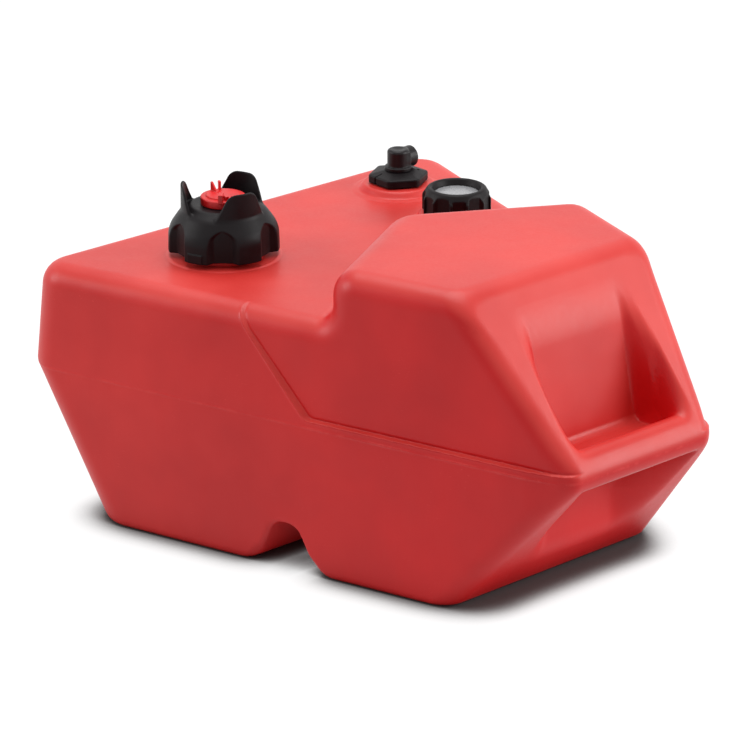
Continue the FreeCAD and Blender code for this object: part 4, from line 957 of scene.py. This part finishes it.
def tankRed():
    r = red
    f = Finish("tank_red", specular=r["specular"])
    cloud = f.noise(r["cloud"], detail=3)
    drag = f.noise(r["drag"], detail=3, stretch=(1, 1, 0.06))
    patches = f.spread(cloud, *r["patches"])
    # painted sheen: the more a face turns towards the light above, the paler its red
    facing = f.node("ShaderNodeTexCoord", output=1)
    dot = {"operation": "DOT_PRODUCT"}
    upward = f.node("ShaderNodeVectorMath", dot, {0: facing, 1: r["sky"]}, output=1)
    paintedSheen = f.node("ShaderNodeMapRange", {"interpolation_type": "SMOOTHSTEP"},
                  {0: upward, 1: r["sheenFrom"], 2: r["sheenTo"]})
    paintedSheen = (paintedSheen + f.spread(f.along(0), *r["sheenAlong"])).limited()
    tone = f.mixed(patches, r["deep"], r["pale"])
    tone = f.mixed(paintedSheen, tone, f.mixed(patches, r["paintedSheenDeep"], r["paintedSheenPale"]))
    # a patchy pale line painted along the flash of the parting line: a painted highlight
    aside = f.maths("ABSOLUTE", f.along(2) - r["partingHeight"])
    seamHighlight = f.spread(aside, *r["partingReach"], 1, 0)
    seamHighlight = seamHighlight * f.spread(f.noise(9, detail=4, roughness=0.7), 0.45, 0.62) * r["seamHighlightStrength"]
    # fine scratches, each seen only here and there
    scratch = f.noise(0.9, detail=2, stretch=(0.05, 1, 1), turn=(0, 0, 17))
    scratch = f.spread(scratch, 0.66, 0.74) * f.spread(f.noise(40, detail=2), 0.5, 0.62)
    f.feed("Base Color", f.mixed((seamHighlight + scratch * r["scratches"]).limited(), tone, r["scuffAndHighlight"]))
    streaks = f.spread(drag, 0.3, 0.7, -r["streakRoughness"], r["streakRoughness"])
    rough = f.spread(cloud, 0.3, 0.7, *r["roughness"]) + streaks
    f.feed("Roughness", rough + scratch * r["scratchRoughness"])
    grain = f.noise(r["grain"], detail=4, roughness=0.6)
    swell = f.noise(r["swell"], detail=1)
    grainPart, dragPart, swellPart, scratchPart = r["relief"]
    relief = grain * grainPart + drag * dragPart + swell * swellPart
    f.raised(relief - scratch * scratchPart, r["reliefDepth"])
    return f.material


def moulded(name, deep, pale, roughness, grain, depth, cloud=14, drag=0, **uniform):
    # injection-moulded plastic or rubber: slow tone changes, fine spark-eroded grain, faint flow lines
    f = Finish(name, **uniform)
    tone = f.noise(cloud, detail=4)
    fine = f.noise(grain, detail=5, roughness=0.65)
    flow = f.noise(cloud * 0.25, detail=2, stretch=(1, 1, 0.15))
    f.feed("Base Color", f.mixed(f.spread(tone * 0.7 + fine * 0.3, 0.35, 0.65), srgb(*deep), srgb(*pale)))
    f.feed("Roughness", f.spread(tone, 0.3, 0.7, *roughness) + f.spread(fine, 0.3, 0.7, -0.05, 0.05))
    height = fine + flow * 0.6
    if drag:
        height = height + f.noise(drag, detail=3, stretch=(0.08, 1, 1)) * 0.8
    f.raised(height, depth)
    return f.material


def machined(name, deep, pale, roughness, lines, along=(1, 1, 0.04), depth=0.01, tarnish=None):
    # metal with the fine marks of drawing or turning, and dull patches
    f = Finish(name, metallic=1.0)
    marks = f.noise(lines, detail=4, roughness=0.6, stretch=along)
    patch = f.noise(5, detail=4, roughness=0.6)
    colour = f.mixed(f.spread(marks, 0.3, 0.7), srgb(*deep), srgb(*pale))
    if tarnish:
        colour = f.mixed(f.spread(patch, 0.52, 0.7) * 0.6, colour, srgb(*tarnish))
    f.feed("Base Color", colour)
    f.feed("Roughness", f.spread(marks, 0.3, 0.7, *roughness) + f.spread(patch, 0.5, 0.7, 0, 0.1))
    f.raised(marks, depth)
    return f.material


def windowClear(name):
    # clear acrylic gone dull, with hairline scratches and a little dust
    clear, dull = srgb(178, 178, 181), srgb(164, 163, 164)
    f = Finish(name, colour=clear, transmission=0.2, ior=1.49, specular=0.4)
    hair = f.spread(f.noise(0.5, detail=2, stretch=(0.04, 1, 1), turn=(0, 0, 35)), 0.66, 0.72)
    dust = f.spread(f.cells(0.9), 0.0, 0.08, 1, 0)
    f.feed("Roughness", f.spread(f.noise(6, detail=3), 0.3, 0.7, 0.26, 0.3) + hair * 0.1 + dust * 0.1)
    f.feed("Base Color", f.mixed(dust * 0.25, clear, dull))
    f.raised(hair * -1, 0.004)
    return f.material


def foamed(name, deep, pale):
    # closed-cell foam: small round cells, with painted shade in the grooves between them
    f = Finish(name, roughness=0.8, specular=0.3)
    cell = f.cells(0.7)
    # darker towards the sunken edge of each cell as painted shade, plus a slow random tone
    grooveShadeAndTone = f.spread(cell, 0.2, 0.7) * 0.6 + f.spread(f.noise(8, detail=3), 0.4, 0.6) * 0.4
    f.feed("Base Color", f.mixed(grooveShadeAndTone, pale, deep))
    f.feed("Roughness", f.spread(cell, 0, 0.8, 0.7, 0.9))
    f.raised(cell * -1, 0.15)
    return f.material


def woven(name, deep, pale, pitch=0.8):
    # moulded mesh: bars in both directions, with painted shade in the openings between them
    f = Finish(name, specular=0.4)
    bars = []
    for turn in ((0, 0, 0), (0, 90, 0)):
        vector = f.stretched((1 / pitch,) * 3, turn)
        bars.append(f.node("ShaderNodeTexWave", {},
                           {"Vector": vector, "Scale": 0.31, "Distortion": 0.2}))
    mesh = f.maths("MAXIMUM", *bars)
    dirt = f.noise(6, detail=4)
    bar = f.mixed(f.spread(dirt, 0.4, 0.7), pale, deep)
    # the openings get the deep tone as painted shade; on the bars the deep tone is random dirt
    f.feed("Base Color", f.mixed(f.spread(mesh, 0.4, 0.6), deep, bar))
    f.feed("Roughness", f.spread(dirt, 0.3, 0.7, 0.45, 0.65))
    f.raised(mesh, 0.15)
    return f.material


# deep and pale tone, roughness, size and depth of the grain in millimetres, and what else differs
plastics = {
    "cap_black": ((6, 2, 4), (15, 8, 11), (0.4, 0.52), 0.8, 0.07, {"specular": 0.17}),
    "insert_black": ((20, 18, 19), (30, 28, 30), (0.4, 0.5), 0.5, 0.03, {}),
    "elbow_black": ((11, 7, 9), (22, 16, 19), (0.32, 0.44), 0.6, 0.05, {"specular": 0.25}),
    "knob_red": ((200, 10, 14), (222, 28, 30), (0.36, 0.48), 0.6, 0.04, {"cloud": 8}),
    "seal_rubber": ((16, 16, 17), (38, 37, 37), (0.6, 0.75), 0.4, 0.03, {"cloud": 6}),
    "washer_white": ((216, 213, 204), (232, 230, 223), (0.34, 0.46), 0.4, 0.01, {}),
    "valve_plastic": ((206, 202, 190), (226, 223, 213), (0.34, 0.48), 0.3, 0.01, {"cloud": 5}),
    "dial_grey": ((178, 178, 182), (196, 196, 199), (0.5, 0.6), 0.25, 0.01, {"cloud": 9}),
    "pointer_red": ((196, 24, 20), (214, 40, 34), (0.4, 0.5), 0.3, 0.01, {"cloud": 4}),
    "gauge_plastic": ((22, 21, 22), (36, 34, 36), (0.4, 0.52), 0.5, 0.03, {}),
    "tube_natural": ((214, 210, 196), (232, 229, 218), (0.3, 0.42), 0.6, 0.02,
                     {"drag": 0.8, "subsurfaceWeight": 0.3, "subsurfaceScale": 0.004}),
}
# the same for metals, with the spacing of their fine lines
metals = {
    "spring_steel": ((150, 150, 153), (196, 196, 199), (0.22, 0.34), 0.12, {"along": (1, 1, 0.1)}),
    "rod_aluminium": ((176, 178, 182), (212, 213, 216), (0.28, 0.42), 0.3, {"tarnish": (140, 139, 136)}),
    "valve_brass": ((176, 142, 70), (214, 182, 104), (0.24, 0.36), 0.3,
                    {"along": (0.04, 0.04, 1), "tarnish": (122, 96, 54)}),
}
finishes = {
    "tank_red": tankRed(),
    "gauge_window": windowClear("gauge_window"),
    "float_foam": foamed("float_foam", srgb(38, 36, 35), srgb(66, 63, 60)),
    "strainer_mesh": woven("strainer_mesh", srgb(70, 66, 58), srgb(214, 211, 202)),
}
for make, table in ((moulded, plastics), (machined, metals)):
    for name, (*values, extra) in table.items():
        finishes[name] = make(name, *values, **extra)

# the pieces made above, by finish
madeHere = {
    "tank_red": (tank, *raisedRings), "cap_black": (capGrip, gaugeRing, hexagon), "knob_red": (ventDial,),
    "insert_black": (closure,), "gauge_window": (gaugeGlass,), "elbow_black": (elbow,),
}
for entry in frame["record"]["subparts"]:
    thing = nodes[entry["node"]]
    finish = finishes[entry["material_slot"]]
    if thing.material_slots:
        for place in thing.material_slots:
            place.material = finish
    else:
        thing.data.materials.append(finish)
for name, things in madeHere.items():
    for thing in things:
        thing.data.materials.append(finishes[name])
print("finishes are on")


# floor, backdrop and lights
studio = {
    "floorSize": 12, "floorColour": (0.1, 0.1, 0.1), "floorGlow": 0.96, "air": 0.36,
    "bounce": 0.62,  # how much of the floor's brightness reaches the object
    "contactShadowReach": 0.036,  # how far from the object the painted contact shadow on the floor reaches
    # pairs of openness and brightness of the painted contact shadow
    "contactShadow": ((0.38, 0), (0.5, 0.08), (0.6, 0.32), (0.72, 0.7), (0.84, 0.92), (0.94, 1)),
    "lamps": {
        "overhead": {"place": (-0.3, 0.2, 2.1), "size": 1.8, "power": 29},
        "handleSide": {"place": (1.9, 1.8, 1.1), "size": 2.0, "power": 50},
        "left": {"place": (-1.5, -1.6, 1.1), "size": 1.2, "power": 17},
    },
}


def lookedAt(tree, otherwise):
    # 1 for what the camera, a reflection or clear plastic shows, less for light that falls on the object
    rays = tree.nodes.new("ShaderNodeLightPath")
    seen = Flow(tree, rays.outputs["Is Camera Ray"]) + Flow(tree, rays.outputs["Is Glossy Ray"])
    seen = (seen + Flow(tree, rays.outputs["Is Transmission Ray"])).limited()
    return seen * (1 - otherwise) + otherwise


def makeStudio(values):
    mesh = bpy.data.meshes.new("floor")
    side = values["floorSize"] / 2
    corners = [(-side, -side, 0), (side, -side, 0), (side, side, 0), (-side, side, 0)]
    mesh.from_pydata(corners, [], [(0, 1, 2, 3)])
    floor = bpy.data.objects.new("floor", mesh)
    scene.collection.objects.link(floor)
    f = Finish("floor_white", colour=values["floorColour"], roughness=0.9, specular=0.1)
    # the floor's glow is darkened where the object closes it in: a painted contact shadow
    openness = f.node("ShaderNodeAmbientOcclusion", {}, {"Distance": values["contactShadowReach"]}, output=1)
    stops = [(place, (bright,) * 3) for place, bright in values["contactShadow"]]
    f.feed("Emission Color", f.mixed(lookedAt(f.tree, values["bounce"]), (0, 0, 0), f.ramp(openness, stops)))
    f.shader.inputs["Emission Strength"].default_value = values["floorGlow"]
    mesh.materials.append(f.material)
    world = bpy.data.worlds.new("studio_air")
    scene.world = world
    world.use_nodes = True
    tree = world.node_tree
    tree.nodes.clear()
    strength = lookedAt(tree, values["air"])
    air = addNode(tree, "ShaderNodeBackground", {}, {"Color": (1, 1, 1), "Strength": strength})
    out = tree.nodes.new("ShaderNodeOutputWorld")
    tree.links.new(air.socket, out.inputs[0])
    for name, lamp in values["lamps"].items():
        light = bpy.data.lights.new(name, "AREA")
        light.shape = "DISK"
        light.size = lamp["size"]
        light.energy = lamp["power"]
        thing = bpy.data.objects.new(name, light)
        thing.location = lamp["place"]
        aim = Vector(lamp["place"]) - Vector(cameraView["target"])
        thing.rotation_euler = aim.to_track_quat("Z", "Y").to_euler()
        scene.collection.objects.link(thing)


makeStudio(studio)
scene.view_settings.view_transform = "Standard"
print("studio is lit")
